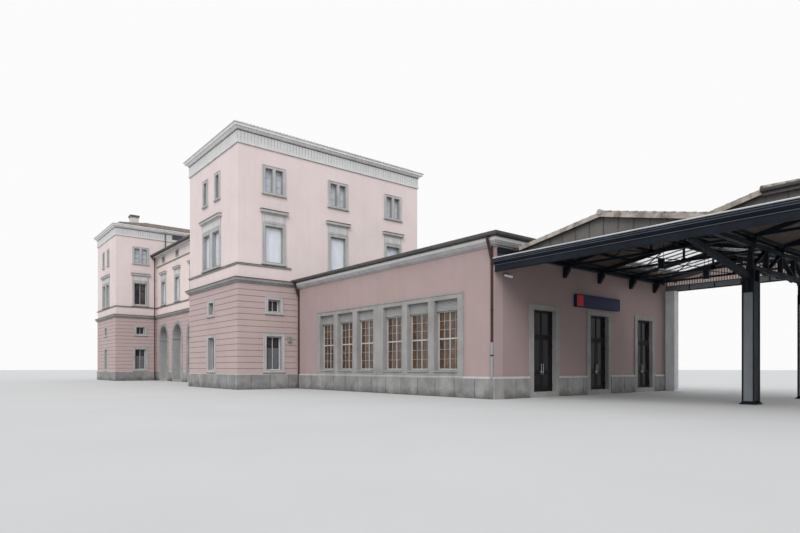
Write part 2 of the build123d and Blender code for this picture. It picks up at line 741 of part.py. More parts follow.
with BuildPart() as door_frame_posts:
    for middle in door_middles:
        for side in (-1, 1):
            jamb = middle - side * DOOR_OPENING / 2
            edge = jamb + side * FRAME_FACE
            block(frame_x, (min(jamb, edge), max(jamb, edge)), (FLOOR_LEVEL, DOOR_TRANSOM))
            leaf_edge = edge + side * LEAF_GAP
            for low in hinge_levels():
                hinge_half(side, leaf_edge, low - HINGE_HEIGHT - HINGE_GAP,
                           -side * (LEAF_GAP + HINGE_REACH), rounded=False)
save(door_frame_posts, "door_frame_posts")

with BuildPart() as door_top_lights:
    for middle in door_middles:
        span = (middle - DOOR_OPENING / 2, middle + DOOR_OPENING / 2)
        block(frame_x, span, (DOOR_TRANSOM, DOOR_TRANSOM + TRANSOM_RAIL))
        pane_x = (leaf_face - (FRAME_THICK + LEAF_GLASS) / 2,
                  leaf_face - (FRAME_THICK - LEAF_GLASS) / 2)
        block(pane_x, span, (DOOR_TRANSOM + TRANSOM_RAIL, DOOR_HEAD - TRANSOM_RAIL))
        block(frame_x, span, (DOOR_HEAD - TRANSOM_RAIL, DOOR_HEAD))
        for place in (span[0] + FRAME_FACE / 2, middle, span[1] - FRAME_FACE / 2):
            block(frame_x, (place - FRAME_FACE / 2, place + FRAME_FACE / 2),
                  (DOOR_TRANSOM + TRANSOM_RAIL, DOOR_HEAD - TRANSOM_RAIL))
save(door_top_lights, "door_top_lights")


def door_leaf(middle, side):
    """One glazed leaf with its stiles, rails, pane and hinge knuckles."""
    hinge_edge = middle - side * (DOOR_OPENING / 2 - FRAME_FACE - LEAF_GAP)
    free_edge = middle - side * MEETING_GAP / 2
    span = (min(hinge_edge, free_edge), max(hinge_edge, free_edge))
    with BuildPart() as leaf:
        block(leaf_x, span, leaf_levels)
        inner = (span[0] + LEAF_STILE, span[1] - LEAF_STILE)
        for low, high in ((leaf_levels[0] + LEAF_STILE, DOOR_RAIL - LEAF_STILE / 2),
                          (DOOR_RAIL + LEAF_STILE / 2, leaf_levels[1] - LEAF_STILE)):
            recess = (LEAF_THICK - LEAF_GLASS) / 2
            block((leaf_x[0], leaf_x[0] + recess), inner, (low, high), Mode.SUBTRACT)
            block((leaf_x[1] - recess, leaf_x[1]), inner, (low, high), Mode.SUBTRACT)
        for low in hinge_levels():
            hinge_half(side, hinge_edge, low, side * HINGE_REACH, rounded=True)
    return leaf


for number, middle in enumerate(door_middles, start=1):
    for hand, side in (("near", 1), ("far", -1)):
        save(door_leaf(middle, side), f"door_{number}_{hand}_leaf")

# Annex plinth, cornice, gutter and roof
annex_x = (X_OUTER, X_END)
annex_y = (Y_ANNEX, Y_ANNEX_BACK)
with BuildPart() as annex_plinth:
    for plane, way, windows in annex_faces:
        with BuildSketch(plane):
            rectangle(X_OUTER + LOWER_CORNICE_PROUD + 2 * DOWNPIPE, X_END, 0, BAND_FOOT)
        extrude(amount=way * PLINTH_PROUD)
    for start, end in zip(pier_starts, pier_ends):
        block((X_END, X_END + PLINTH_PROUD), (start, end), (0, BAND_FOOT))
save(annex_plinth, "annex_plinth")


def annex_course(low, high, proud):
    """A course round the free sides of the annex, on the wall head."""
    with BuildSketch(Plane.XY.offset(low)) as plan:
        rectangle_ring(annex_x, annex_y, proud, ANNEX_WALL)
        rectangle(X_OUTER - 2 * proud, X_OUTER, annex_y[0] - 2 * proud,
                  annex_y[1] + 2 * proud, mode=Mode.SUBTRACT)
        rectangle(X_OUTER, X_OUTER + ANNEX_WALL, annex_y[0] + ANNEX_WALL, Y_BACK,
                  mode=Mode.SUBTRACT)
    extrude(plan.sketch, amount=high - low)


with BuildPart() as annex_cornice:
    annex_course(ANNEX_TOP, ANNEX_TOP + MOULDING, MOULDING)
    annex_course(ANNEX_TOP + MOULDING, ANNEX_TOP + MOULDING + WHITE_BOARD,
                 ANNEX_EAVES - GUTTER[0])
save(annex_cornice, "annex_cornice")

roof_level = ANNEX_TOP + MOULDING + WHITE_BOARD
with BuildPart() as annex_gutter:
    with BuildSketch(Plane.XY.offset(roof_level)):
        rectangle_ring(annex_x, annex_y, ANNEX_EAVES, GUTTER[0] - ANNEX_EAVES)
        rectangle(X_OUTER - 2 * ANNEX_EAVES, X_OUTER, annex_y[0] - 2 * ANNEX_EAVES,
                  annex_y[1] + 2 * ANNEX_EAVES, mode=Mode.SUBTRACT)
    extrude(amount=ANNEX_GUTTER_TOP - roof_level)
save(annex_gutter, "annex_gutter")

board_edge = ANNEX_EAVES - GUTTER[0]
with BuildPart() as annex_roof:
    hipped((X_OUTER - ANNEX_DEPTH, X_END + board_edge),
           (Y_ANNEX - board_edge, Y_ANNEX_BACK + board_edge), roof_level, ANNEX_ROOF_SLOPE)
    split(bisect_by=Plane.YZ.offset(X_OUTER), keep=Keep.TOP)
save(annex_roof, "annex_roof")

# Canopy: two bays of roof on trusses, girders and columns
column_y = [Y_ANNEX + axis for axis in COLUMN_AXES]
truss_y = [Y_ANNEX + axis for axis in TRUSS_AXES]
roof_y = (Y_ANNEX + ROOF_FRONT, Y_ANNEX_BACK)
panel_y = Y_ANNEX + PANEL_FRONT
fascia_back = Y_ANNEX + FASCIA_THICK
rear_front = Y_ANNEX_BACK - FASCIA_THICK
canopy_x = (X_END, X_CANOPY + GIRDER_THICK / 2)
under_valley = VALLEY_LEVEL - ROOF_SHEET


def bay_line(number):
    """The top line of one bay's roof: its left foot, its ridge and its valley."""
    start = X_END + number * BAY_WIDTH
    foot = (start, VALLEY_LEVEL) if number else (start + FLASHING, WALL_LEVEL)
    ridge = (start + RIDGE_SHARE * BAY_WIDTH, APEX_LEVELS[number])
    return [foot, ridge, (start + BAY_WIDTH, VALLEY_LEVEL)]


bay_lines = [bay_line(number) for number in range(BAY_COUNT)]


def lowered(points, drop):
    """The same points at levels lowered by drop."""
    return [(x, z - drop) for x, z in points]


def roof_outline(number):
    """The top line of one bay, with the flashing strip along the annex wall."""
    strip = [] if number else [(X_END, WALL_LEVEL)]
    return strip + bay_lines[number]


def polygon(points, mode=Mode.ADD):
    """A straight-sided face through the given points."""
    with BuildLine() as edge:
        Polyline(*points, close=True)
    make_face(edge.edges(), mode=mode)


def hip_plane(drop):
    """The slope over the front of the last bay, lowered by drop."""
    return Plane(origin=(0, roof_y[0], HIP_EAVE - drop), x_dir=(1, 0, 0),
                 z_dir=Vector(0, -HIP_SLOPE, 1))


def bay_solid(number, drop):
    """Everything under one bay's roof, lowered by drop, as one solid."""
    top = lowered(roof_outline(number), drop)
    with BuildPart() as piece:
        with BuildSketch(facing_front(roof_y[0])):
            polygon(top + [(top[-1][0], under_valley - drop), (top[0][0], under_valley - drop)])
        extrude(amount=-(roof_y[1] - roof_y[0]))
        if number == BAY_COUNT - 1:
            split(bisect_by=hip_plane(drop), keep=Keep.BOTTOM)
    return piece


def glass_span(low_end, ridge):
    """The span of the rooflights between the low end of a slope and its ridge."""
    way = 1 if ridge[0] > low_end[0] else -1
    return sorted((low_end[0] + way * GLASS_MARGIN, ridge[0] - way * GLASS_MARGIN))


def slope_level(place, low_end, ridge, drop):
    """The level of one slope at a place across the bay, lowered by drop."""
    share = (place - low_end[0]) / (ridge[0] - low_end[0])
    return low_end[1] + share * (ridge[1] - low_end[1]) - drop


slopes = [(line[end], line[1]) for line in bay_lines for end in (0, 2)]
glass_y = (Y_ANNEX + GLASS_STRIP[0], Y_ANNEX + GLASS_STRIP[1])
with BuildPart() as canopy_roof:
    for number in range(BAY_COUNT):
        add(bay_solid(number, 0.0).part)
        add(bay_solid(number, ROOF_SHEET).part, mode=Mode.SUBTRACT)
    for low_end, ridge in slopes:
        block(glass_span(low_end, ridge), glass_y, (under_valley, ridge[1]), Mode.SUBTRACT)
    block(canopy_x, (fascia_back, panel_y + PANEL_THICK), FRONT_DECK)
save(canopy_roof, "canopy_roof")

with BuildPart() as canopy_rooflights:
    for low_end, ridge in slopes:
        top = [(x, slope_level(x, low_end, ridge, 0)) for x in glass_span(low_end, ridge)]
        with BuildSketch(facing_front(glass_y[0])):
            polygon(top + lowered(reversed(top), GLASS_THICK))
        extrude(amount=-(glass_y[1] - glass_y[0]))
save(canopy_rooflights, "canopy_rooflights")

# Panels that close the bays over the front deck and over the rear beam
with BuildPart() as canopy_end_panels:
    for number in range(BAY_COUNT):
        start = X_END + number * BAY_WIDTH
        near = start + GIRDER_THICK / 2 if number else start
        far = start + BAY_WIDTH - GIRDER_THICK / 2
        foot, ridge, valley = bay_lines[number]
        top = [(near, slope_level(near, foot, ridge, 0)), ridge,
               (far, slope_level(far, valley, ridge, 0))]
        if number == 0:
            top = [(near, WALL_LEVEL), foot] + top[1:]
        for y, low in ((panel_y, FRONT_DECK[1]), (roof_y[1] - PANEL_THICK, REAR_BEAM[1])):
            with BuildPart() as panel:
                with BuildSketch(facing_front(y)):
                    polygon(lowered(top, ROOF_SHEET) + [(far, low), (near, low)])
                extrude(amount=-PANEL_THICK)
                if number == BAY_COUNT - 1:
                    split(bisect_by=hip_plane(ROOF_SHEET), keep=Keep.BOTTOM)
            add(panel.part)
save(canopy_end_panels, "canopy_end_panels")


def truss_outline(number):
    """The outside of one bay's truss and the open triangle inside it."""
    start = X_END + number * BAY_WIDTH
    foot, ridge, valley = bay_lines[number]
    outside = lowered(roof_outline(number), ROOF_SHEET)
    outside += [(valley[0], TIE_LEVEL), (start, TIE_LEVEL)]
    soffit = ROOF_SHEET + RAFTER
    inside = []
    for low_end in (foot, valley):
        rise = TIE_LEVEL + TRUSS_BAR + soffit - low_end[1]
        run = max(rise / (ridge[1] - low_end[1]), 0) * (ridge[0] - low_end[0])
        inside.append((low_end[0] + run, TIE_LEVEL + TRUSS_BAR))
    return outside, [inside[0], (ridge[0], ridge[1] - soffit), inside[1]]


# Trusses: two rafters over a level tie, a post under the ridge, seats on the girders
with BuildPart() as canopy_trusses:
    for number in range(BAY_COUNT):
        outside, inside = truss_outline(number)
        ridge = bay_lines[number][1]
        with BuildPart() as bay_trusses:
            for y in truss_y:
                with BuildSketch(facing_front(y - TRUSS_THICK / 2)):
                    polygon(outside)
                    polygon(inside, Mode.SUBTRACT)
                    rectangle(ridge[0] - TRUSS_POST / 2, ridge[0] + TRUSS_POST / 2,
                              TIE_LEVEL, ridge[1] - ROOF_SHEET - RAFTER / 2)
                    for x in X_GIRDERS[max(number - 1, 0):number + 1]:
                        low_side = x if number and x == X_GIRDERS[0] else x - TRUSS_SEAT
                        rectangle(low_side, low_side + TRUSS_SEAT, GIRDER_TOP, TIE_LEVEL)
                extrude(amount=-TRUSS_THICK)
            if number == BAY_COUNT - 1:
                split(bisect_by=hip_plane(ROOF_SHEET), keep=Keep.BOTTOM)
        add(bay_trusses.part)
save(canopy_trusses, "canopy_trusses")

# Lattice girders between the columns, with top chords that reach both edge beams
with BuildPart() as canopy_girders:
    for x in X_GIRDERS:
        with BuildSketch(facing_right(x - GIRDER_THICK / 2)):
            rectangle(fascia_back, rear_front, GIRDER_TOP - GIRDER_BAR, GIRDER_TOP)
            low_span = (column_y[0] - COLUMN[1] / 2, column_y[1] + COLUMN[1] / 2)
            rectangle(*low_span, GIRDER_BOTTOM, GIRDER_BOTTOM + GIRDER_BAR)
            step = (column_y[1] - column_y[0]) / GIRDER_PANELS
            levels = (GIRDER_BOTTOM + GIRDER_BAR / 2, GIRDER_TOP - GIRDER_BAR / 2)
            for i in range(GIRDER_PANELS + 1):
                post = column_y[0] + i * step
                rectangle(post - GIRDER_BAR / 2, post + GIRDER_BAR / 2, *levels)
            with BuildLine() as diagonals:
                for i in range(GIRDER_PANELS):
                    start = column_y[0] + i * step
                    rising = i < GIRDER_PANELS / 2
                    first, second = levels if rising else reversed(levels)
                    Line((start, first), (start + step, second))
            trace(diagonals.edges(), line_width=GIRDER_BAR / 2)
        extrude(amount=GIRDER_THICK)
save(canopy_girders, "canopy_girders")

# Columns: two flanges and a web, with a cap plate under the girder
with BuildPart() as canopy_columns:
    for x in X_GIRDERS:
        for y in column_y:
            with BuildSketch(Plane.XY):
                with Locations((x, y)):
                    Rectangle(COLUMN[0], COLUMN[1])
                with Locations((x - COLUMN[0] / 4 - COLUMN_FLANGE / 4, y),
                               (x + COLUMN[0] / 4 + COLUMN_FLANGE / 4, y)):
                    Rectangle(COLUMN[0] / 2 - COLUMN_FLANGE / 2,
                              COLUMN[1] - 2 * COLUMN_FLANGE, mode=Mode.SUBTRACT)
            extrude(amount=GIRDER_BOTTOM)
save(canopy_columns, "canopy_columns")

# Slanting struts from the columns out to the edge beams
with BuildPart() as canopy_struts:
    for x in X_GIRDERS:
        for y, edge, way, under in ((column_y[0], Y_ANNEX, -1, FASCIA[0]),
                                    (column_y[1], Y_ANNEX_BACK, 1, REAR_BEAM[0])):
            face = y + way * COLUMN[1] / 2
            head = edge - way * FASCIA_THICK / 2
            with BuildSketch(facing_right(x - GIRDER_THICK / 2)):
                polygon([(face, STRUT_FOOT), (face, STRUT_FOOT + STRUT_DEPTH),
                         (head - way * STRUT_DEPTH, under), (head, under),
                         (head, under - STRUT_DEPTH / 2)])
            extrude(amount=GIRDER_THICK)
save(canopy_struts, "canopy_struts")

with BuildPart() as canopy_edge_beams:
    block(canopy_x, (Y_ANNEX, fascia_back), FASCIA)
    block(canopy_x, (rear_front, Y_ANNEX_BACK), REAR_BEAM)
save(canopy_edge_beams, "canopy_edge_beams")

# Front gutter on the edge beam, with an upright board behind it that meets the deck
rim = Y_ANNEX - GUTTER[0] / 2
shoulder = FASCIA[1] + GUTTER[0] / 2
bed = FASCIA[1] + GUTTER[2]
with BuildPart() as canopy_gutter:
    with BuildSketch(Plane.YZ.offset(X_END)):
        polygon([(rim, GUTTER_RIM), (rim, shoulder), (Y_ANNEX, FASCIA[1]),
                 (fascia_back, FASCIA[1]), (fascia_back, FRONT_DECK[1]),
                 (fascia_back - GUTTER[2], FRONT_DECK[1]), (fascia_back - GUTTER[2], bed),
                 (Y_ANNEX + GUTTER[2], bed), (rim + GUTTER[2], shoulder + GUTTER[2]),
                 (rim + GUTTER[2], GUTTER_RIM)])
    extrude(amount=canopy_x[1] - canopy_x[0])
save(canopy_gutter, "canopy_gutter")

with BuildPart() as canopy_pillar:
    block((X_END + PILLAR_CLEAR, X_END + PILLAR_CLEAR + PILLAR_SIDE),
          (Y_ANNEX_BACK - PILLAR_SIDE, Y_ANNEX_BACK), (0, REAR_BEAM[0]))
save(canopy_pillar, "canopy_pillar")

# Brackets on the annex wall under the trusses
with BuildPart() as wall_brackets:
    thick, reach, drop = BRACKET
    for y in truss_y:
        with BuildSketch(facing_front(y - thick / 2)):
            polygon([(X_END, TIE_LEVEL), (X_END, TIE_LEVEL - drop),
                     (X_END + reach / 3, TIE_LEVEL - drop),
                     (X_END + reach, TIE_LEVEL - drop / 3), (X_END + reach, TIE_LEVEL)])
        extrude(amount=-thick)
save(wall_brackets, "wall_brackets")

with BuildPart() as sign_box:
    block((X_END, X_END + SIGN[2]), (Y_ANNEX + SIGN[4] - SIGN[0] / 2,
                                     Y_ANNEX + SIGN[4] + SIGN[0] / 2),
          (SIGN[3], SIGN[3] + SIGN[1]))
save(sign_box, "sign_box")

# Downpipes stand in the corners, against the wall or the cornice
clear = LOWER_CORNICE_PROUD + DOWNPIPE
pipe_places = [(X_END - 2 * DOWNPIPE, Y_ANNEX - DOWNPIPE, ANNEX_TOP, BAND_FOOT),
               (X_OUTER + clear, Y_ANNEX - DOWNPIPE, ANNEX_TOP, 0)]
for side in (-1, 1):
    pipe_places.append((side * (X_INNER - clear), Y_CENTRE - clear, CENTRE_TOP, 0))
with BuildPart() as downpipes:
    for x, y, top, low in pipe_places:
        with BuildSketch(Plane.XY.offset(low)):
            with Locations((x, y)):
                RegularPolygon(DOWNPIPE, PIPE_SIDES)
        extrude(amount=top - low)
save(downpipes, "downpipes")
print(len(written), "nodes")
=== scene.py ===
# %% [markdown]
# A railway station building at half size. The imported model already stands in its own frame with
# its walls, roofs, arches and doors, so this lesson dresses it: first the view and the light, then
# the finishes, and then the small work that a model in solids leaves out, such as window bars,
# boards, tiles, mouldings and glass. Every size below is that of the real building in metres,
# and the factor M brings it to the half-size model, so a reader can check it with a tape.

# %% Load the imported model
import math
import bmesh
import bpy
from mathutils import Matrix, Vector


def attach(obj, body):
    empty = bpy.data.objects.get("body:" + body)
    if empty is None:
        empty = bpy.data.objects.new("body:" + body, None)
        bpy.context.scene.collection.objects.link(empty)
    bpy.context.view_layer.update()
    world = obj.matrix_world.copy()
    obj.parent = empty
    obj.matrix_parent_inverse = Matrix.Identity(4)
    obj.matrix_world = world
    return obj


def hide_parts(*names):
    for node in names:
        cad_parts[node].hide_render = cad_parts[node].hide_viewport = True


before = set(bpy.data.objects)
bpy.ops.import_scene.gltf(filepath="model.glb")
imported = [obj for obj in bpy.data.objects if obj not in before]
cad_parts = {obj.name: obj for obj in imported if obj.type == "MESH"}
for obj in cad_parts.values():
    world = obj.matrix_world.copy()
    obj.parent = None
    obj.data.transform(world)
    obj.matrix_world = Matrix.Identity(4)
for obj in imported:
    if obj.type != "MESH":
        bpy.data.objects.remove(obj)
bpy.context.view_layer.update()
M = 0.5

# %% [markdown]
# The photograph was taken level, with the lens shifted up, so upright edges stay upright. The
# standpoint and the turn were worked out from the lines of the cornices. Blender's shift_y is a
# share of the picture's width, so the horizon's distance below the middle is divided by it.
# Cameras, lamps and meshes all enter the scene in the same way, which gets a small helper.

# %% Camera
IMAGE_WIDTH = 800
FOCAL_PIXELS = 569.4
HORIZON_BELOW_MIDDLE = 101.6
CAMERA_PLACE = (52.15 * M, -23.0 * M, 1.3 * M)
CAMERA_TURN = (90, 0, 51.06)
SENSOR = 36.0
FARTHEST = 500.0


def stand(name, data, place=(0, 0, 0), degrees=(0, 0, 0)):
    """Bring a camera, a lamp or a mesh into the scene as an object."""
    made = bpy.data.objects.new(name, data)
    made.location = place
    made.rotation_euler = [math.radians(angle) for angle in degrees]
    bpy.context.scene.collection.objects.link(made)
    return made


lens = bpy.data.cameras.new("station_camera")
lens.sensor_width = SENSOR
lens.lens = FOCAL_PIXELS / IMAGE_WIDTH * SENSOR
lens.shift_y = HORIZON_BELOW_MIDDLE / IMAGE_WIDTH
lens.clip_end = FARTHEST
bpy.context.scene.camera = stand("station_camera", lens, CAMERA_PLACE, CAMERA_TURN)
bpy.context.scene.view_settings.view_transform = "Standard"
print("lens", round(lens.lens, 2), "mm")

# %% [markdown]
# Light, finishes and repeated shapes are all made of nodes here. Two helpers keep that short:
# the first adds a node, sets its options, and sets or links its inputs, which are called by
# name, or by number with a dash before it. The second does the same for shader nodes.

# %% Helpers for nodes
def put(tree, kind, settings=None, **inputs):
    """Add one node, set its options, and set or link its inputs."""
    node = tree.nodes.new(kind)
    for key, value in (settings or {}).items():
        setattr(node, key, value)
    for key, value in inputs.items():
        socket = node.inputs[int(key[1:])] if key[0] == "_" else node.inputs[key]
        if isinstance(value, bpy.types.NodeSocket):
            tree.links.new(value, socket)
        else:
            socket.default_value = value
    return node


def add(tree, kind, settings=None, **inputs):
    """Add one shader node."""
    return put(tree, "ShaderNode" + kind, settings, **inputs)

# %% [markdown]
# The day was overcast, so the light comes from the whole sky and only a little from one side.
# A world of even strength does that, and a very soft sun gives the two wall directions their
# slightly different tone. Rays that come straight from the camera, or that meet glass or metal,
# see a white sky, which keeps the background clean without putting more light on the walls.

# %% Sky and sun
SKY_COLOUR = (0.93, 0.95, 1.0, 1)
SKY_LIGHT = 1.0
WHITE_SKY = 0.97
SUN_STRENGTH = 1.85
SUN_SIZE = 40
SUN_TURN = (52, 0, 45)
world = bpy.data.worlds.new("overcast_sky")
bpy.context.scene.world = world
world.use_nodes = True
sky = world.node_tree
sky_light = sky.nodes["Background"]
sky_light.inputs["Color"].default_value = SKY_COLOUR
sky_light.inputs["Strength"].default_value = SKY_LIGHT
sky_seen = add(sky, "Background", Color=(1, 1, 1, 1), Strength=WHITE_SKY)
rays = add(sky, "LightPath").outputs
seen = rays["Is Camera Ray"]
for kind in ("Is Glossy Ray", "Is Transmission Ray"):
    seen = add(sky, "Math", {"operation": "MAXIMUM"}, _0=seen, _1=rays[kind]).outputs[0]
both = add(sky, "MixShader", _0=seen, _1=sky_light.outputs[0], _2=sky_seen.outputs[0])
sky.links.new(both.outputs[0], sky.nodes["World Output"].inputs["Surface"])
sun_data = bpy.data.lights.new("soft_sun", "SUN")
sun_data.energy = SUN_STRENGTH
sun_data.angle = math.radians(SUN_SIZE)
stand("soft_sun", sun_data, degrees=SUN_TURN)
print("sky", SKY_LIGHT, "sun", SUN_STRENGTH)

# %% [markdown]
# A finish is a small graph of nodes. The helpers below keep each graph short: one reads the
# place on the object, and others make a noise, a ramp of colours, a wash of dirt or a bump.
# Object coordinates are used throughout, because they stay with the surface when the camera or
# a door moves.

# %% Helpers for the finishes
WHITE = (1, 1, 1)


def place_on(tree, stretch=(1, 1, 1)):
    """The place on the object, stretched along its axes."""
    where = add(tree, "TexCoord").outputs["Object"]
    return add(tree, "Mapping", Vector=where, Scale=stretch).outputs["Vector"]


def cloud(tree, scale, detail=5, stretch=(1, 1, 1)):
    """A noise between 0 and 1 that varies over the surface."""
    return add(tree, "TexNoise", Vector=place_on(tree, stretch), Scale=scale,
               Detail=detail, Roughness=0.6).outputs["Fac"]


def ramp(tree, value, *stops):
    """Colours by value, given as (position, colour) pairs."""
    node = add(tree, "ValToRGB", Fac=value)
    points = node.color_ramp.elements
    while len(points) < len(stops):
        points.new(0.5)
    for point, (position, colour) in zip(points, stops):
        point.position = position
        point.color = (*colour, 1)
    return node.outputs["Color"]


def blend(tree, share, first, second, kind="MIX"):
    """Mix two colours by a share."""
    node = add(tree, "Mix", {"data_type": "RGBA", "blend_type": kind}, _0=share)
    for socket, value in ((node.inputs[6], first), (node.inputs[7], second)):
        if isinstance(value, bpy.types.NodeSocket):
            tree.links.new(value, socket)
        else:
            socket.default_value = (*value, 1)
    return node.outputs[2]


def wash(tree, colour, share, pattern, *stops):
    """Darken or lighten a colour by a share of a pattern's ramp."""
    return blend(tree, share, colour, ramp(tree, pattern, *stops), "MULTIPLY")


def reckon(tree, kind, first, second):
    """One step of arithmetic on numbers that vary over the surface."""
    return add(tree, "Math", {"operation": kind}, _0=first, _1=second).outputs[0]


def height_of(tree):
    """The level above the ground at each point of the surface."""
    return add(tree, "SeparateXYZ", Vector=place_on(tree)).outputs["Z"]


def ragged_height(tree, scale, share):
    """The level above the ground, made uneven by a cloud."""
    return reckon(tree, "ADD", height_of(tree),
                  reckon(tree, "MULTIPLY", cloud(tree, scale), share))


def run_of(tree):
    """The distance along a wall, which is X on one face and Y on the next."""
    parts = add(tree, "SeparateXYZ", Vector=place_on(tree))
    return reckon(tree, "ADD", parts.outputs["X"], parts.outputs["Y"])

# %% [markdown]
# Each finish starts from Blender's main shader and ends with its graph linked to it: the colour,
# where it is wanted the roughness, and a small bump that stands for grain and unevenness.

# %% Start and end of a finish
def finish(name, colour=None, rough=0.6, metal=0.0):
    """A new material with its shader, ready for its graph."""
    material = bpy.data.materials.new(name)
    material.use_nodes = True
    shader = material.node_tree.nodes["Principled BSDF"]
    shader.inputs["Roughness"].default_value = rough
    shader.inputs["Metallic"].default_value = metal
    if colour:
        shader.inputs["Base Color"].default_value = (*colour, 1)
    return material, material.node_tree, shader


def join_up(tree, shader, colour, bump=None, depth=0.002, strength=0.5, rough=None):
    """Link the finished colour, bump and roughness to the shader."""
    tree.links.new(colour, shader.inputs["Base Color"])
    if rough is not None:
        tree.links.new(rough, shader.inputs["Roughness"])
    if bump is not None:
        node = add(tree, "Bump", Height=bump, Distance=depth, Strength=strength)
        tree.links.new(node.outputs["Normal"], shader.inputs["Normal"])

# %% [markdown]
# The walls are painted render. Above the stone cornice it is a very pale pink, and below it a
# dusty pink, so the colour switches at that level. Large soft clouds stand for old repairs,
# thin upright streaks for rain, and a darker foot for the splash of the street.

# %% Painted render
PALE_PINK = (0.685, 0.585, 0.565)
CENTRE_CREAM = (0.73, 0.615, 0.57)
DUSTY_PINK = (0.45, 0.347, 0.33)
ANNEX_PINK = (0.37, 0.278, 0.266)
# The end wall under the canopy gets the annex pink darkened as painted shade from the canopy.
END_SHADED_PINK = (0.30, 0.225, 0.215)
CORNICE_LEVEL = 6.6 * M


def weathered(tree, colour):
    """Clouds, rain streaks and a darker foot over a plain colour."""
    colour = wash(tree, colour, 1.0, cloud(tree, 0.9, 6),
                  (0.32, (0.92, 0.92, 0.92)), (0.66, WHITE))
    colour = wash(tree, colour, 0.45, cloud(tree, 1.0, 4, (5, 5, 0.35)),
                  (0.30, (0.93, 0.92, 0.91)), (0.55, WHITE))
    colour = wash(tree, colour, 1.0, cloud(tree, 40, 3),
                  (0.3, (0.95, 0.95, 0.95)), (0.7, (1.03, 1.03, 1.03)))
    return wash(tree, colour, 0.8, ragged_height(tree, 3, 0.5),
                (0.25, (0.86, 0.86, 0.87)), (0.8, WHITE))


def painted_render(name, upper, lower):
    """Render with one colour above the cornice and another below it."""
    material, tree, shader = finish(name, rough=0.82)
    above = reckon(tree, "GREATER_THAN", height_of(tree), CORNICE_LEVEL)
    colour = weathered(tree, blend(tree, above, lower, upper))
    join_up(tree, shader, colour, cloud(tree, 90, 4), 0.0015, 0.35)
    return material


main_render = painted_render("main_render", PALE_PINK, DUSTY_PINK)
annex_render = painted_render("annex_render", ANNEX_PINK, ANNEX_PINK)
end_shaded_render = painted_render("end_shaded_render", END_SHADED_PINK, END_SHADED_PINK)
print("render finishes made")

# %% [markdown]
# Plinths, cornices, window bands and arch stones are a fine grey sandstone. Fresh stone is
# lighter and warmer, sheltered and wet parts are darker. The plinth also shows its upright
# joints, which a brick texture draws when it reads the distance along the wall and the level.

# %% Grey sandstone
STONE = (0.31, 0.305, 0.295)
STONE_DARK = (0.235, 0.23, 0.222)
JOINT_RUN = 1.25 * M
JOINT_WIDTH = 0.010
JOINT_GREY = (0.36, 0.35, 0.34, 1)
OTHER_BLOCK = (0.82, 0.82, 0.84, 1)
BEYOND_THE_PLINTH = 4.0


def sandstone(name, colour, dark, joints=False):
    """Grey stone with grain and stains, and upright joints if wanted."""
    material, tree, shader = finish(name, rough=0.85)
    base = ramp(tree, cloud(tree, 2.2, 7), (0.30, dark), (0.62, colour))
    base = wash(tree, base, 1.0, cloud(tree, 55, 3),
                (0.3, (0.9, 0.9, 0.9)), (0.7, (1.08, 1.07, 1.05)))
    base = wash(tree, base, 0.8, cloud(tree, 1.4, 5, (4, 4, 0.5)),
                (0.33, (0.80, 0.80, 0.81)), (0.56, WHITE))
    relief = cloud(tree, 45, 5)
    if joints:
        shares = add(tree, "CombineXYZ", X=run_of(tree), Y=height_of(tree)).outputs[0]
        blocks = add(tree, "TexBrick", {"offset": 0.0}, Vector=shares, Scale=1.0,
                     Color1=(*WHITE, 1), Color2=OTHER_BLOCK, Mortar=JOINT_GREY)
        blocks.inputs["Brick Width"].default_value = JOINT_RUN
        blocks.inputs["Row Height"].default_value = BEYOND_THE_PLINTH
        blocks.inputs["Mortar Size"].default_value = JOINT_WIDTH
        base = blend(tree, 1.0, base, blocks.outputs["Color"], "MULTIPLY")
        base = wash(tree, base, 1.0, ragged_height(tree, 4, 0.45),
                    (0.22, (0.50, 0.50, 0.48)), (0.42, WHITE))
    join_up(tree, shader, base, relief, 0.003, 0.4)
    return material


trim = sandstone("grey_sandstone", STONE, STONE_DARK)
upper_stone = sandstone("upper_sandstone", (0.44, 0.44, 0.435), (0.36, 0.36, 0.355))
pale_stone = sandstone("pale_sandstone", (0.58, 0.57, 0.555), (0.48, 0.475, 0.465))
plinth = sandstone("plinth_sandstone", (0.315, 0.31, 0.30), (0.20, 0.197, 0.19), joints=True)
reveal_stone = sandstone("reveal_sandstone", (0.33, 0.33, 0.325), (0.27, 0.27, 0.265))
concrete = sandstone("pale_concrete", (0.56, 0.57, 0.58), (0.45, 0.46, 0.47))
print("stone finishes made")

# %% [markdown]
# Painted timber and sheet metal share one recipe: an even coat whose gloss and tone vary a
# little, with dirt in clouds. Paint on metal is smoother, and old zinc is duller and patchy.

# %% Paint, metal and zinc
LEAST_ROUGH = 0.05


def coat(name, colour, rough=0.45, metal=0.0, dirt=0.85, scale=3.0, shine=0.5):
    """An even coat of paint or sheet with a little dirt and an uneven gloss."""
    material, tree, shader = finish(name, rough=rough, metal=metal)
    shader.inputs["Specular IOR Level"].default_value = shine
    worn = tuple(c * dirt for c in colour)
    tone = ramp(tree, cloud(tree, scale, 6), (0.35, worn), (0.6, colour))
    tone = wash(tree, tone, 0.7, cloud(tree, 2.0, 4, (6, 6, 0.6)),
                (0.3, (0.88, 0.88, 0.88)), (0.55, WHITE))
    gloss = add(tree, "MapRange", Value=cloud(tree, 9, 3)).outputs[0]
    spread = add(tree, "MapRange", _0=gloss, _3=max(rough - 0.1, LEAST_ROUGH),
                 _4=rough + 0.12)
    join_up(tree, shader, tone, cloud(tree, 60, 2), 0.0006, 0.25, spread.outputs[0])
    return material


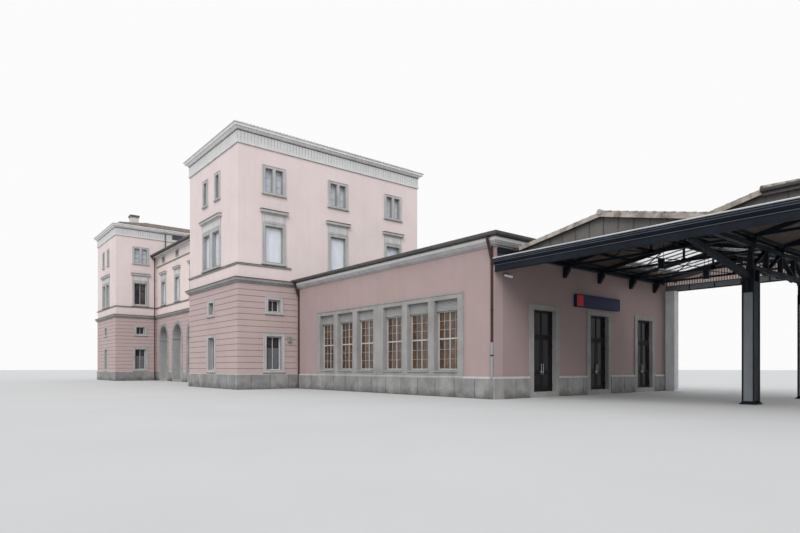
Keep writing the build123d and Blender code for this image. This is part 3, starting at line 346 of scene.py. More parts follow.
frieze_paint = coat("frieze_paint", (0.58, 0.575, 0.565), 0.6, dirt=0.93)
frieze_shade = coat("frieze_shade", (0.22, 0.22, 0.22), 0.7)
white_paint = coat("white_paint", (0.60, 0.60, 0.59), 0.4, dirt=0.9)
cornice_zinc = coat("cornice_zinc", (0.76, 0.75, 0.735), 0.5, dirt=0.88)
brown_paint = coat("brown_paint", (0.05, 0.026, 0.022), 0.55, dirt=0.75, shine=0.2)
dark_gutter = coat("dark_gutter", (0.11, 0.105, 0.10), 0.45, 0.3, dirt=0.75)
navy_paint = coat("navy_paint", (0.009, 0.013, 0.020), 0.6, dirt=0.75, shine=0.15)
# A paler navy: the plain colour of the rooflight bars and the louvre, and a painted highlight on
# the canopy's flange edges.
pale_navy_and_highlight = coat("pale_navy_and_highlight", (0.07, 0.08, 0.10), 0.5, dirt=0.8, shine=0.2)
rim_zinc = coat("rim_zinc", (0.58, 0.59, 0.60), 0.4, 0.3, dirt=0.85)
galvanised = coat("galvanised", (0.36, 0.37, 0.38), 0.35, 0.6, dirt=0.85)
panel_sheet = coat("panel_sheet", (0.155, 0.146, 0.134), 0.6, dirt=0.85, shine=0.3)
shutter_paint = coat("shutter_paint", (0.31, 0.305, 0.295), 0.55, dirt=0.88)
door_paint = coat("door_paint", (0.016, 0.013, 0.013), 0.55, dirt=0.8, shine=0.12)
blind_paint = coat("blind_paint", (0.79, 0.815, 0.86), 0.5, dirt=0.95)
column_paint = coat("column_paint", (0.17, 0.185, 0.20), 0.5, dirt=0.85)
sign_navy = coat("sign_navy", (0.018, 0.025, 0.07), 0.5, dirt=0.85, shine=0.12)
sign_red = coat("sign_red", (0.55, 0.03, 0.035), 0.5, dirt=0.85, shine=0.15)
camera_white = coat("camera_white", (0.72, 0.72, 0.71), 0.3, dirt=0.95)
grey_joinery = coat("grey_joinery", (0.44, 0.44, 0.42), 0.5, dirt=0.85)
floor_finish, graph, shader = finish("plain_floor", rough=0.9)
join_up(graph, shader, ramp(graph, cloud(graph, 0.5, 2), (0.3, (0.49, 0.49, 0.48)),
                            (0.7, (0.51, 0.51, 0.50))))
print("coats made", len(bpy.data.materials))

# %% [markdown]
# The window glass is seen from outside by day, so it is dark and mirrors the sky. A nearly
# black, very smooth surface gives that. The annex's panes also show the warm tone of the rooms.
# The canopy's roof glass is lit from above, so it passes most light and looks bright from
# below. The sheet in its rear gable passes a little light, and its faint glow is painted light.

# %% Glass
def dark_glass(name, colour, warm=None, shine=0.5):
    """Window glass: dark and smooth, with a warm glow from the room if wanted."""
    material, tree, shader = finish(name, colour, 0.06)
    shader.inputs["IOR"].default_value = 1.5
    shader.inputs["Specular IOR Level"].default_value = shine
    if warm:
        room = ramp(tree, cloud(tree, 9.0, 4, (2, 2, 0.6)), (0.40, colour), (0.72, warm))
    else:
        room = ramp(tree, cloud(tree, 1.3, 2), (0.4, colour), (0.7, [c * 1.9 for c in colour]))
    join_up(tree, shader, room)
    return material


window_glass = dark_glass("window_glass", (0.034, 0.034, 0.036))
annex_glass = dark_glass("annex_glass", (0.038, 0.026, 0.020), (0.165, 0.082, 0.038))
door_glass = dark_glass("door_glass", (0.008, 0.008, 0.010), shine=0.10)
frosted_glass = coat("frosted_glass", (0.125, 0.13, 0.14), 0.5, dirt=0.9)
pale_glass = coat("pale_glass", (0.60, 0.65, 0.74), 0.3, dirt=0.9)
roof_glass, graph, shader = finish("roof_glass", (0.97, 0.98, 1.0), 0.12)
shader.inputs["Transmission Weight"].default_value = 0.97
shader.inputs["IOR"].default_value = 1.1
join_up(graph, shader, ramp(graph, cloud(graph, 2.0, 6, (1, 3, 1)),
                            (0.25, (0.82, 0.84, 0.86)), (0.5, WHITE)))
infill_sheet_painted_glow, graph, shader = finish("infill_sheet_painted_glow", rough=0.5)
shader.inputs["Transmission Weight"].default_value = 0.25
# A faint emission is painted light: the glow of daylight through the sheet.
shader.inputs["Emission Color"].default_value = (0.9, 0.74, 0.68, 1)
shader.inputs["Emission Strength"].default_value = 0.16
join_up(graph, shader, ramp(graph, cloud(graph, 3.0, 4), (0.3, (0.62, 0.50, 0.46)),
                            (0.7, (0.78, 0.68, 0.62))))
print("glass made")

# %% [markdown]
# Old clay tiles have as many tones as there are tiles. Each tile gets its own number, called
# tone, when it is laid out, and the finish turns that number into one of several browns. Lichen
# covers the sunny parts in pale patches. Where a roof has no tiles of its own, such as its
# underside, plain boards show.

# %% Tiles and boards
def clay(name, low, high, lichen):
    """Clay tiles whose tone is stored on each tile, with patches of lichen."""
    material, tree, shader = finish(name, rough=0.85)
    tone = add(tree, "Attribute", {"attribute_name": "tone"}).outputs["Fac"]
    colour = ramp(tree, tone, (0.0, low), (0.55, high), (1.0, [c * 1.25 for c in high]))
    patch = ramp(tree, cloud(tree, 7, 7), (0.46, (0, 0, 0)), (0.60, (1, 1, 1)))
    colour = blend(tree, reckon(tree, "MULTIPLY", patch, 0.55), colour, lichen)
    join_up(tree, shader, colour, cloud(tree, 50, 4), 0.003, 0.4)
    return material


roof_clay = clay("roof_clay", (0.13, 0.095, 0.082), (0.215, 0.165, 0.14), (0.33, 0.31, 0.28))
old_clay = clay("old_clay", (0.15, 0.125, 0.108), (0.285, 0.245, 0.21), (0.46, 0.44, 0.405))
roof_board = coat("roof_board", (0.085, 0.062, 0.05), 0.75, dirt=0.75, scale=6)
chimney_render = coat("chimney_render", (0.60, 0.56, 0.55), 0.8, dirt=0.85)
print("tiles made")

# %% [markdown]
# Most of the small work is bars, courses and mouldings that lie on a wall. So a wall face is
# described once, by its place and the way it looks, and then a point on it is given by the
# distance along it, the distance out of it and the level. A moulding is one outline in
# section, carried along a path with mitred corners, as a mason would run it. Lofting the
# corners of such a section from place to place makes every solid below.

# %% Shapes on a wall
CORNERS = ((-1, -1), (1, -1), (1, 1), (-1, 1))


class Face:
    """A wall face, with X or Y along it, and out of it the way that it looks."""

    def __init__(self, along, place, way):
        self.along, self.place, self.way = along, place, way

    def at(self, run, out, level):
        """A point by its place along the face, out of it, and its level."""
        if self.along == "x":
            return (run, self.place - self.way * out, level)
        return (self.place + self.way * out, run, level)


def loft(mesh, *loops, ring=False):
    """Join matching loops of points into a closed solid."""
    rings = [[mesh.verts.new(Vector(p) * M) for p in loop] for loop in loops]
    count = len(loops[0])
    pairs = list(zip(rings, rings[1:])) + ([(rings[-1], rings[0])] if ring else [])
    for near, far in pairs:
        for i in range(count):
            j = (i + 1) % count
            mesh.faces.new((near[i], near[j], far[j], far[i]))
    if not ring:
        mesh.faces.new(rings[0][::-1])
        mesh.faces.new(rings[-1])


def bar(mesh, face, run, out, level):
    """A straight bar between two places on each of the face's axes."""
    loft(mesh, *[[face.at(run[i], o, z) for i, o in ((0, out[0]), (1, out[0]), (1, out[1]),
                                                     (0, out[1]))] for z in level])


def strip(mesh, face, run, section):
    """A section of (out, level) points pushed along the face."""
    loft(mesh, *[[face.at(r, o, z) for o, z in section] for r in run])


def surround(mesh, face, box, section):
    """A section of (grow, out) points carried round a rectangle with mitred corners."""
    start, end, low, high = box
    loft(mesh, *[[face.at((start if a < 0 else end) + a * g, o,
                          (low if b < 0 else high) + b * g) for g, o in section]
                 for a, b in CORNERS], ring=True)


def moulding(mesh, path, section, ring=False):
    """A section of (out, level) points carried along a path in plan, out to the left."""
    count = len(path)
    normals = []
    for i in range(count if ring else count - 1):
        step = Vector(path[(i + 1) % count]) - Vector(path[i])
        normals.append(Vector((-step.y, step.x)).normalized())
    loops = []
    for i, point in enumerate(path):
        before = normals[i - 1] if ring or i else normals[0]
        after = normals[i % len(normals)] if ring or i < count - 1 else normals[-1]
        mitre = (before + after) / (1 + before.dot(after))
        loops.append([(point[0] + mitre.x * o, point[1] + mitre.y * o, z)
                      for o, z in section])
    loft(mesh, *loops, ring=ring)

# %% [markdown]
# Pipes, handles and trusses don't lie on a wall, so a rod is lofted through any points and a
# beam between two. Every mesh then goes through one last step, which turns its faces outward,
# softens its edges where they are sharp in a solid but worn on the building, and gives it its
# finish and the body that it rides on.

# %% Rods, beams and finished pieces
def rod(mesh, points, radius, sides=8):
    """A round bar through several points, with mitred bends."""
    points = [Vector(p) for p in points]
    loops = []
    side = None
    for i, point in enumerate(points):
        before = (point - points[i - 1]).normalized() if i else None
        after = (points[i + 1] - point).normalized() if i < len(points) - 1 else None
        way = ((before or after) + (after or before)).normalized()
        if side is None:
            side = way.orthogonal().normalized()
        side = (side - way * side.dot(way)).normalized()
        other = way.cross(side)
        loops.append([tuple(point + (side * math.cos(t) + other * math.sin(t)) * radius)
                      for t in [k * math.tau / sides for k in range(sides)]])
    loft(mesh, *loops)


def beam(mesh, start, end, thick, deep, up=(0, 0, 1)):
    """A straight bar of rectangular section between two points."""
    start, end = Vector(start), Vector(end)
    way = (end - start).normalized()
    side = way.cross(Vector(up)).normalized()
    top = side.cross(way)
    loft(mesh, *[[tuple(p + side * a * thick / 2 + top * b * deep / 2) for a, b in CORNERS]
                 for p in (start, end)])


def piece(name, mesh, material, slot, body="body", bevel=0.0, replaces=()):
    """Finish a mesh as a piece: faces outward, soft edges, finish and body; the slot is not used.
    """
    bmesh.ops.recalc_face_normals(mesh, faces=mesh.faces)
    data = bpy.data.meshes.new(name)
    mesh.to_mesh(data)
    mesh.free()
    made = stand(name, data)
    data.materials.append(material)
    if bevel:
        edge = made.modifiers.new("soft_edges", "BEVEL")
        edge.width = bevel * M
        edge.segments = 1
        edge.limit_method = "ANGLE"
    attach(made, body)
    if replaces:
        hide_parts(*replaces)
    print(name, len(data.polygons), "faces")
    return made


def moulded(name, paths, sections, material, slot, ring=False, **given):
    """A piece made of every section carried along every path."""
    mesh = bmesh.new()
    for path in paths:
        for section in sections:
            moulding(mesh, path, section, ring)
    return piece(name, mesh, material, slot, **given)

# %% [markdown]
# The main block has two towers with the recessed centre between them. These are its places in
# plan, its levels and its windows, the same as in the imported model, so that each bar and each
# moulding meets the opening it belongs to. A light is given by its width, its height and the
# level of its sill. Each face has a number, by which later cells pick out the few faces whose
# windows differ from the rest.

# %% Places of the main block
X_INNER = 11.05
X_OUTER = 19.45
Y_FRONT = -9.1
Y_CENTRE = -5.1
Y_BACK = 5.1
Y_ANNEX_BACK = 9.7
X_END = 36.25
TOWER_MIDDLE = 15.25
PLINTH_TOP = 0.90
CORNICE_FOOT = 6.45
BAND = 0.19
GROUND = (1.05, 2.11, 1.18)
MEZZANINE = (0.81, 0.77, 4.81)
FIRST = (1.20, 2.24, 7.90)
COUPLED = (1.15, 2.24, 7.90)
TWIN = (0.50, 1.47, 12.24)
ATTIC = (0.70, 0.45, 12.25)
ARCHES = [-8.6, -4.3, 0.0, 4.3, 8.6]
SIDE_AXES = [-6.7333, -2.0, 2.7333]


def group(kind, places, light, count=1, spacing=0.0, hood=False, band=BAND):
    """Windows of one kind: their lights and the outline of their stone band."""
    width, height, sill = light
    made = []
    for place in places:
        middles = [place + (i - (count - 1) / 2) * spacing for i in range(count)]
        lights = [(m - width / 2, m + width / 2, sill, sill + height) for m in middles]
        outline = (lights[0][0] - band, lights[-1][1] + band, sill - band,
                   sill + height + band)
        made.append((kind, lights, outline, hood))
    return made


def flipped(windows):
    """The same windows on the other tower."""
    return [(kind, [(-b, -a, c, d) for a, b, c, d in lights], (-o[1], -o[0], o[2], o[3]),
             hood) for kind, lights, o, hood in windows]


def side_windows(low_axes, high_axes):
    """The windows of a tower's side: low ones and high ones by axis."""
    return (group("ground", low_axes, GROUND) + group("mezzanine", low_axes, MEZZANINE)
            + group("first", high_axes, FIRST, hood=True)
            + group("twin", high_axes, TWIN, 2, 0.70))


front = (group("ground", [TOWER_MIDDLE], GROUND)
         + group("mezzanine", [TOWER_MIDDLE], MEZZANINE)
         + group("coupled", [TOWER_MIDDLE], COUPLED, 2, 1.65, True)
         + group("twin", [TOWER_MIDDLE - 1.07, TOWER_MIDDLE + 1.07], TWIN))
centre = (group("centre", ARCHES, FIRST, hood=True)
          + group("attic", ARCHES, ATTIC, band=0.10))
tower_faces = [(Face("x", Y_FRONT, 1), front + flipped(front), 1),
               (Face("x", Y_BACK, -1), front + flipped(front), 2),
               (Face("y", X_INNER, -1), side_windows(SIDE_AXES[:1], SIDE_AXES[:1]), 3),
               (Face("y", -X_INNER, 1), side_windows(SIDE_AXES[:1], SIDE_AXES[:1]), 4),
               (Face("y", X_OUTER, 1), side_windows(SIDE_AXES[:1], SIDE_AXES), 5),
               (Face("y", -X_OUTER, -1), side_windows(SIDE_AXES, SIDE_AXES), 6)]
centre_faces = [(Face("x", Y_CENTRE, 1), centre, 7), (Face("x", Y_BACK, -1), centre, 8)]
main_faces = tower_faces + centre_faces
print("windows", sum(len(windows) for face, windows, number in main_faces))

# %% [markdown]
# Below the cornice the render is drawn into courses with grooves between them, like blocks of
# stone. Painted lines would look flat from the side, so every course is a real strip with
# chamfered edges, and in the groove shows the wall behind, painted darker as the shade of the
# groove. A course stops at each window band and at each arch.

# %% Rusticated courses
COURSE = 0.37
GROOVE = 0.018
COURSE_PROUD = 0.03
COURSE_EDGE = 0.012
ARCADE_PROUD = 0.018
ARCH_SPRING = 4.3
ARCH_COVER = 1.45
SLIVER = 0.015
TOUCH = 0.016
SHORTEST = 0.02


def clear_spans(run, low, high, windows, arches):
    """The stretches of a course between windows and arches, as ends below and above."""
    spans = []
    starts = [(run[0], run[0])]
    stops = []
    for kind, lights, outline, hood in sorted(windows, key=lambda w: w[2][0]):
        if outline[2] < high - TOUCH and outline[3] > low + TOUCH:
            stops.append((outline[0], outline[0]))
            starts.append((outline[1], outline[1]))
    for middle in arches:
        half = [math.sqrt(max(ARCH_COVER ** 2 - max(z - ARCH_SPRING, 0) ** 2, 0))
                for z in (low, high)]
        if max(half) > 0:
            stops.append((middle - half[0], middle - half[1]))
            starts.append((middle + half[0], middle + half[1]))
    stops.append((run[1], run[1]))
    for start, stop in zip(sorted(starts), sorted(stops)):
        if stop[0] - start[0] > SHORTEST or stop[1] - start[1] > SHORTEST:
            spans.append((start, stop))
    return spans


def courses(mesh, face, run, windows, arches=(), proud=COURSE_PROUD, corners=(0, 0)):
    """Courses of render up to the cornice, mitred where a corner follows."""
    for i in range(round((CORNICE_FOOT - PLINTH_TOP) / COURSE)):
        low = PLINTH_TOP + i * COURSE + GROOVE / 2
        high = PLINTH_TOP + (i + 1) * COURSE - GROOVE / 2
        cuts = {low, high} | {z for w in windows for z in w[2][2:]
                              if low + SLIVER < z < high - SLIVER}
        if arches and high > ARCH_SPRING:
            cuts |= {low + (high - low) / 3, low + (high - low) * 2 / 3}
        cuts = sorted(cuts)
        for z in zip(cuts, cuts[1:]):
            cut = (COURSE_EDGE * (z[0] == low), COURSE_EDGE * (z[1] == high))
            for start, stop in clear_spans(run, z[0], z[1], windows, arches):
                section = [(0, z[0]), (proud, z[0] + cut[0]), (proud, z[1] - cut[1]),
                           (0, z[1])]
                mitres = (corners[0] * (start[0] == run[0]), corners[1] * (stop[0] == run[1]))
                ends = [[face.at(side[0] + (side[1] - side[0]) * (level - z[0])
                                 / (z[1] - z[0]) + mitre * out, out, level)
                         for out, level in section]
                        for side, mitre in ((start, mitres[0]), (stop, mitres[1]))]
                loft(mesh, *ends)


mesh = bmesh.new()
low_kinds = ("ground", "mezzanine")
for side in (-1, 1):
    span = sorted((side * X_INNER, side * X_OUTER))
    windows = [w for w in (front if side > 0 else flipped(front)) if w[0] in low_kinds]
    courses(mesh, Face("x", Y_FRONT, 1), span, windows, corners=(-1, 1))
    outer_end = (-1, 0) if side < 0 else (0, 0)
    courses(mesh, Face("x", Y_BACK, -1), span, windows, corners=outer_end)
for face, windows, number in tower_faces[2:]:
    windows = [w for w in windows if w[0] in low_kinds]
    if number == 6:
        courses(mesh, face, (Y_FRONT, Y_BACK), windows, corners=(-1, 1))
    else:
        courses(mesh, face, (Y_FRONT, Y_CENTRE), windows, corners=(-1, 0))
piece("rusticated_courses", mesh, main_render, "upper_wall")
mesh = bmesh.new()
for face, windows, number in centre_faces:
    courses(mesh, face, (-X_INNER, X_INNER), [], ARCHES, ARCADE_PROUD)
piece("arcade_courses", mesh, main_render, "upper_wall")

# %% [markdown]
# The stone courses that run round the block are mouldings: a drip, a round and a hollow under
# a flat top covered with dark sheet. One section each is carried round the plan, and the result
# stands for the plain solid course. The path starts and ends where the annex meets the tower.

# %% Cornices and string courses
ANNEX_START = -5.55
block_path = [(X_OUTER, ANNEX_START), (X_OUTER, Y_FRONT), (X_INNER, Y_FRONT),
              (X_INNER, Y_CENTRE), (-X_INNER, Y_CENTRE), (-X_INNER, Y_FRONT),
              (-X_OUTER, Y_FRONT), (-X_OUTER, Y_BACK), (X_OUTER, Y_BACK)]
right_ring = [(X_OUTER, Y_BACK), (X_OUTER, Y_FRONT), (X_INNER, Y_FRONT), (X_INNER, Y_BACK)]
tower_rings = [right_ring, [(-x, y) for x, y in right_ring[::-1]]]
moulded("lower_cornice_moulding", [block_path], [[
    (0, 6.45), (0.05, 6.45), (0.05, 6.50), (0.09, 6.51), (0.13, 6.55), (0.14, 6.60),
    (0.22, 6.61), (0.22, 6.70), (0.235, 6.715), (0.25, 6.75), (0.25, 6.775), (0, 6.80)]],
    trim, "trim_stone", replaces=("lower_cornice",))
mesh = bmesh.new()
moulding(mesh, block_path, [(0.0, 7.55), (0.03, 7.55), (0.045, 7.575), (0.075, 7.585),
                            (0.08, 7.60), (0.08, 7.655), (0, 7.665)])
for face, windows, number in centre_faces:
    strip(mesh, face, (-X_INNER, X_INNER), [(0, 11.85), (0.04, 11.86), (0.05, 11.90),
                                            (0.08, 11.91), (0.08, 11.985), (0, 12.0)])
piece("string_course_mouldings", mesh, trim, "trim_stone", replaces=("string_courses",))
moulded("course_flashings", [block_path], [
    [(0, 6.802), (0.262, 6.778), (0.268, 6.755), (0.275, 6.755), (0.27, 6.79), (0, 6.816)],
    [(0, 7.667), (0.088, 7.657), (0.09, 7.64), (0.096, 7.64), (0.094, 7.668), (0, 7.68)]],
    brown_paint, "brown_metal")
moulded("tower_cornice_mouldings", tower_rings, [[
    (-0.6, 15.65), (0.06, 15.65), (0.07, 15.67), (0.12, 15.68), (0.165, 15.72),
    (0.18, 15.77), (0.18, 15.79), (0.30, 15.80), (0.30, 15.90), (0.315, 15.905),
    (0.345, 15.945), (0.35, 15.97), (-0.6, 15.97)]],
    cornice_zinc, "cornice_metal", ring=True, replaces=("tower_cornices",))
moulded("tower_cornice_edges", tower_rings, [[
    (0.30, 15.972), (0.358, 15.972), (0.362, 15.94), (0.37, 15.94), (0.366, 15.984),
    (0.30, 15.984)]], rim_zinc, "cornice_metal", ring=True)

# %% [markdown]
# Round the windows the stone band gets a raised outer fillet, a sill that stands out and slopes,
# and a lining on the reveal. Over the larger windows a small hood sits on a hollow moulding
# under dark sheet, with a sunk panel between the band and the hood.

# %% Window surrounds and hoods
HOOD_RISE = 0.62
mesh, sheets, linings, panels = [bmesh.new() for part in range(4)]
for face, windows, number in main_faces:
    for kind, lights, o, hood in windows:
        surround(mesh, face, o, [(-0.05, 0.06), (-0.045, 0.078), (-0.008, 0.082), (0, 0.075),
                                 (0.004, 0.0), (-0.05, 0.0)])
        if kind != "attic":
            strip(mesh, face, (o[0] - 0.05, o[1] + 0.05),
                  [(0, o[2]), (0.09, o[2]), (0.13, o[2] + 0.03), (0.14, o[2] + 0.09),
                   (0.06, o[2] + 0.125), (0, o[2] + 0.125)])
        for light in lights:
            surround(linings, face, light, [(-0.012, -0.22), (-0.012, 0.055),
                                            (-0.004, 0.068), (0.012, 0.068),
                                            (0.012, 0.05), (-0.002, -0.22)])
        if hood:
            low, high = o[3], o[3] + HOOD_RISE
            bar(panels, face, (o[0] + 0.02, o[1] - 0.02), (0.04, 0.064), (low + 0.03, high - 0.13))
            surround(mesh, face, (o[0] + 0.14, o[1] - 0.14, low + 0.11, high - 0.15),
                     [(0, 0.058), (0.02, 0.075), (0.05, 0.075), (0.06, 0.058)])
            strip(mesh, face, (o[0] - 0.04, o[1] + 0.04),
                  [(0.05, high - 0.12), (0.08, high - 0.11), (0.09, high - 0.07),
                   (0.13, high - 0.03), (0.17, high), (0.05, high)])
            strip(sheets, face, (o[0] - 0.15, o[1] + 0.15),
                  [(0, high + 0.172), (0.235, high + 0.172), (0.24, high + 0.15),
                   (0.247, high + 0.15), (0.243, high + 0.186), (0, high + 0.20)])
piece("window_mouldings", mesh, upper_stone, "trim_stone")
piece("window_linings", linings, reveal_stone, "trim_stone")
piece("hood_panels", panels, pale_stone, "trim_stone")
piece("hood_sheets", sheets, brown_paint, "brown_metal")

# %% [markdown]
# Each window has two casements that meet on a mullion, with a transom above. Every pane sits
# in a thin sash with a small bevel, which catches the light like the moulded edge of real
# joinery. The low windows are brown with one pale mullion, and the twin lights under the roof
# have only two thin bars.

# %% Window bars
JOINERY = (-0.29, -0.215)
FRAME = 0.07
GAP = 0.01
THIN_BAR, LOW_BAR, BAR = 0.014, 0.02, 0.035
TALL_BARS = ((0.5,), (0.66,))
BARS = {"ground": ((0.5,), (0.70,)), "mezzanine": ((0.5,), ()), "first": TALL_BARS,
        "coupled": TALL_BARS, "centre": TALL_BARS, "twin": ((), (0.34, 0.67)),
        "attic": ((), ())}
mesh, brown = bmesh.new(), bmesh.new()
for face, windows, number in main_faces:
    for kind, lights, o, hood in windows:
        uprights, levels = BARS[kind]
        low_window = kind in low_kinds or number == 4
        sashes = brown if low_window else mesh
        wide = THIN_BAR if kind == "twin" else LOW_BAR if low_window else BAR
        for start, end, sill, head in lights:
            left, right, foot, top = start + FRAME, end - FRAME, sill + FRAME, head - FRAME
            cells_x = [left] + [start + (end - start) * s for s in uprights] + [right]
            cells_z = [foot] + [sill + (head - sill) * s for s in levels] + [top]
            for place in cells_x[1:-1]:
                bar(mesh, face, (place - wide, place + wide), JOINERY, (foot, top))
            for place in cells_z[1:-1]:
                bar(sashes, face, (left, right), (JOINERY[0], JOINERY[1] - 0.015),
                    (place - wide, place + wide))
            if kind == "twin":
                continue
            for a, b in zip(cells_x, cells_x[1:]):
                for c, d in zip(cells_z, cells_z[1:]):
                    surround(sashes, face, (a + GAP, b - GAP, c + GAP, d - GAP),
                             [(-0.035, -0.285), (-0.035, -0.25), (-0.025, -0.238),
                              (0, -0.236), (0, -0.285)])
piece("window_bars", mesh, white_paint, "white_joinery")
piece("low_window_sashes", brown, brown_paint, "white_joinery")

# %% [markdown]
# Five arches open the centre. Their stones are wedge-shaped blocks with fine joints, so each
# block is made by itself from its two angles, and the straight jamb below is made of blocks
# too. The reveal behind them is a smooth grey shell that follows the round.

# %% Arch stones and reveals
ARCH_RADIUS = 1.30
ARCH_STONE = 0.30
WEDGES = 13
JOINT = 0.006
FLOOR_LEVEL = 0.24
ARCH_PARTS = 28
WEDGE_PARTS = 3
JAMB_BLOCKS = 8
HEAD_PLACE = -0.765
HEAD_RADIUS = 1.22
IMPOST, IMPOST_HIGH = (1.20, 1.34), 0.13
THRESHOLD_HALF = 1.284
HEAD_BAR = 0.05


def arch_loop(face, middle, angle, section):
    """The section of (radius, out) points turned to one angle of an arch."""
    return [face.at(middle + r * math.cos(angle), out, ARCH_SPRING + r * math.sin(angle))
            for r, out in section]


def arch_run(mesh, face, middle, section, foot):
    """A section carried up one jamb, round the arch and down the other jamb."""
    loft(mesh, [face.at(middle + r, out, foot) for r, out in section],
         *[arch_loop(face, middle, math.pi * i / ARCH_PARTS, section)
           for i in range(ARCH_PARTS + 1)],
         [face.at(middle - r, out, foot) for r, out in section])


mesh, linings, heads = bmesh.new(), bmesh.new(), bmesh.new()
outer = ARCH_RADIUS + ARCH_STONE
wedge = [(1.285, 0), (1.285, 0.058), (1.297, 0.068), (outer - 0.012, 0.068),
         (outer, 0.056), (outer, 0)]
for face, windows, number in centre_faces:
    for middle in ARCHES:
        gap = JOINT / ARCH_RADIUS
        for i in range(WEDGES):
            a, b = math.pi * i / WEDGES + gap, math.pi * (i + 1) / WEDGES - gap
            loft(mesh, *[arch_loop(face, middle, a + (b - a) * k / WEDGE_PARTS, wedge)
                         for k in range(WEDGE_PARTS + 1)])
        levels = [FLOOR_LEVEL + (ARCH_SPRING - FLOOR_LEVEL) * k / JAMB_BLOCKS
                  for k in range(JAMB_BLOCKS + 1)]
        for low, high in zip(levels, levels[1:]):
            for side in (-1, 1):
                loft(mesh, *[[face.at(middle + side * r, out, z) for r, out in wedge]
                             for z in (low + JOINT, high - JOINT)])
        arch_run(linings, face, middle, [(1.268, -0.715), (1.268, 0.04), (1.276, 0.05),
                                         (1.30, 0.05), (1.30, -0.715)], FLOOR_LEVEL)
        arch_run(heads, face, middle, [(1.20, -0.79), (1.20, -0.74), (1.215, -0.725),
                                       (1.266, -0.725), (1.266, -0.79)], ARCH_SPRING)
        for side in (-1, 1):
            bar(linings, face, sorted(middle + side * r for r in IMPOST), (-0.70, 0.10),
                (ARCH_SPRING - IMPOST_HIGH, ARCH_SPRING))
        strip(mesh, face, (middle - THRESHOLD_HALF, middle + THRESHOLD_HALF),
              [(-0.70, 0.10), (0.04, 0.0), (0.075, 0.0), (0.08, 0.235), (0.07, 0.25),
               (-0.70, 0.25)])
        for turn in (60, 120):
            way = (math.cos(math.radians(turn)), math.sin(math.radians(turn)))
            beam(heads, face.at(middle, HEAD_PLACE, ARCH_SPRING),
                 face.at(middle + HEAD_RADIUS * way[0], HEAD_PLACE,
                         ARCH_SPRING + HEAD_RADIUS * way[1]),
                 HEAD_BAR, HEAD_BAR, (0.3, 0.3, 0.1))
piece("arch_voussoirs", mesh, trim, "trim_stone", bevel=0.004, replaces=("arch_stones",))
piece("arch_reveals", linings, reveal_stone, "trim_stone")
piece("arch_heads", heads, white_paint, "white_joinery")

# %% [markdown]
# Below the springing each arch is closed by a glazed screen: two pairs of leaves with a solid
# foot and two panes each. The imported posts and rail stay, and the rails, panels and glazing
# beads between them are added here, with the dark glass close behind.

# %% Arch screens
RAILS = ((0.28, 0.45), (1.12, 1.24), (2.86, 2.96), (4.06, 4.16))
LEAF_OUT = (-0.79, -0.73)
STILE = 0.05
mesh = bmesh.new()
for face, windows, number in centre_faces:
    for middle in ARCHES:
        for side in (-1, 1):
            start, end = sorted((middle + side * 0.07, middle + side * 1.16))
            half = (start + end) / 2
            for levels in RAILS:
                bar(mesh, face, (start, end), LEAF_OUT, levels)
            bar(mesh, face, (half - STILE, half + STILE), LEAF_OUT, (RAILS[0][1], RAILS[3][0]))
            for a, b in ((start + 0.02, half - STILE), (half + STILE, end - 0.02)):
                bar(mesh, face, (a, b), (-0.785, -0.765), (RAILS[0][1], RAILS[1][0]))
                surround(mesh, face, (a + 0.10, b - 0.10, 0.55, 1.02),
                         [(0, -0.766), (0.02, -0.75), (0.05, -0.75), (0.06, -0.766)])
piece("arch_screen_leaves", mesh, white_paint, "white_joinery", bevel=0.006)

# %% [markdown]
# Boards, slats, seams, ribs and tiles all repeat one small shape many times. Placing hundreds
# of them by hand would be slow, and an array follows only one line, so Geometry Nodes do it:
# Python lays down bare points, each with the way it runs, the way it faces and its length, and
# the tree puts one shape on every point. The shape's width, its thickness and the seed for the
# tones are named inputs. The last nodes make the copies real and give them their finish.

# %% Geometry Nodes that repeat a shape
ROLL_SIDES, RIB_SIDES = 6, 8
ROLL_RADIUS, ROLL_ASIDE = 0.17, 0.42


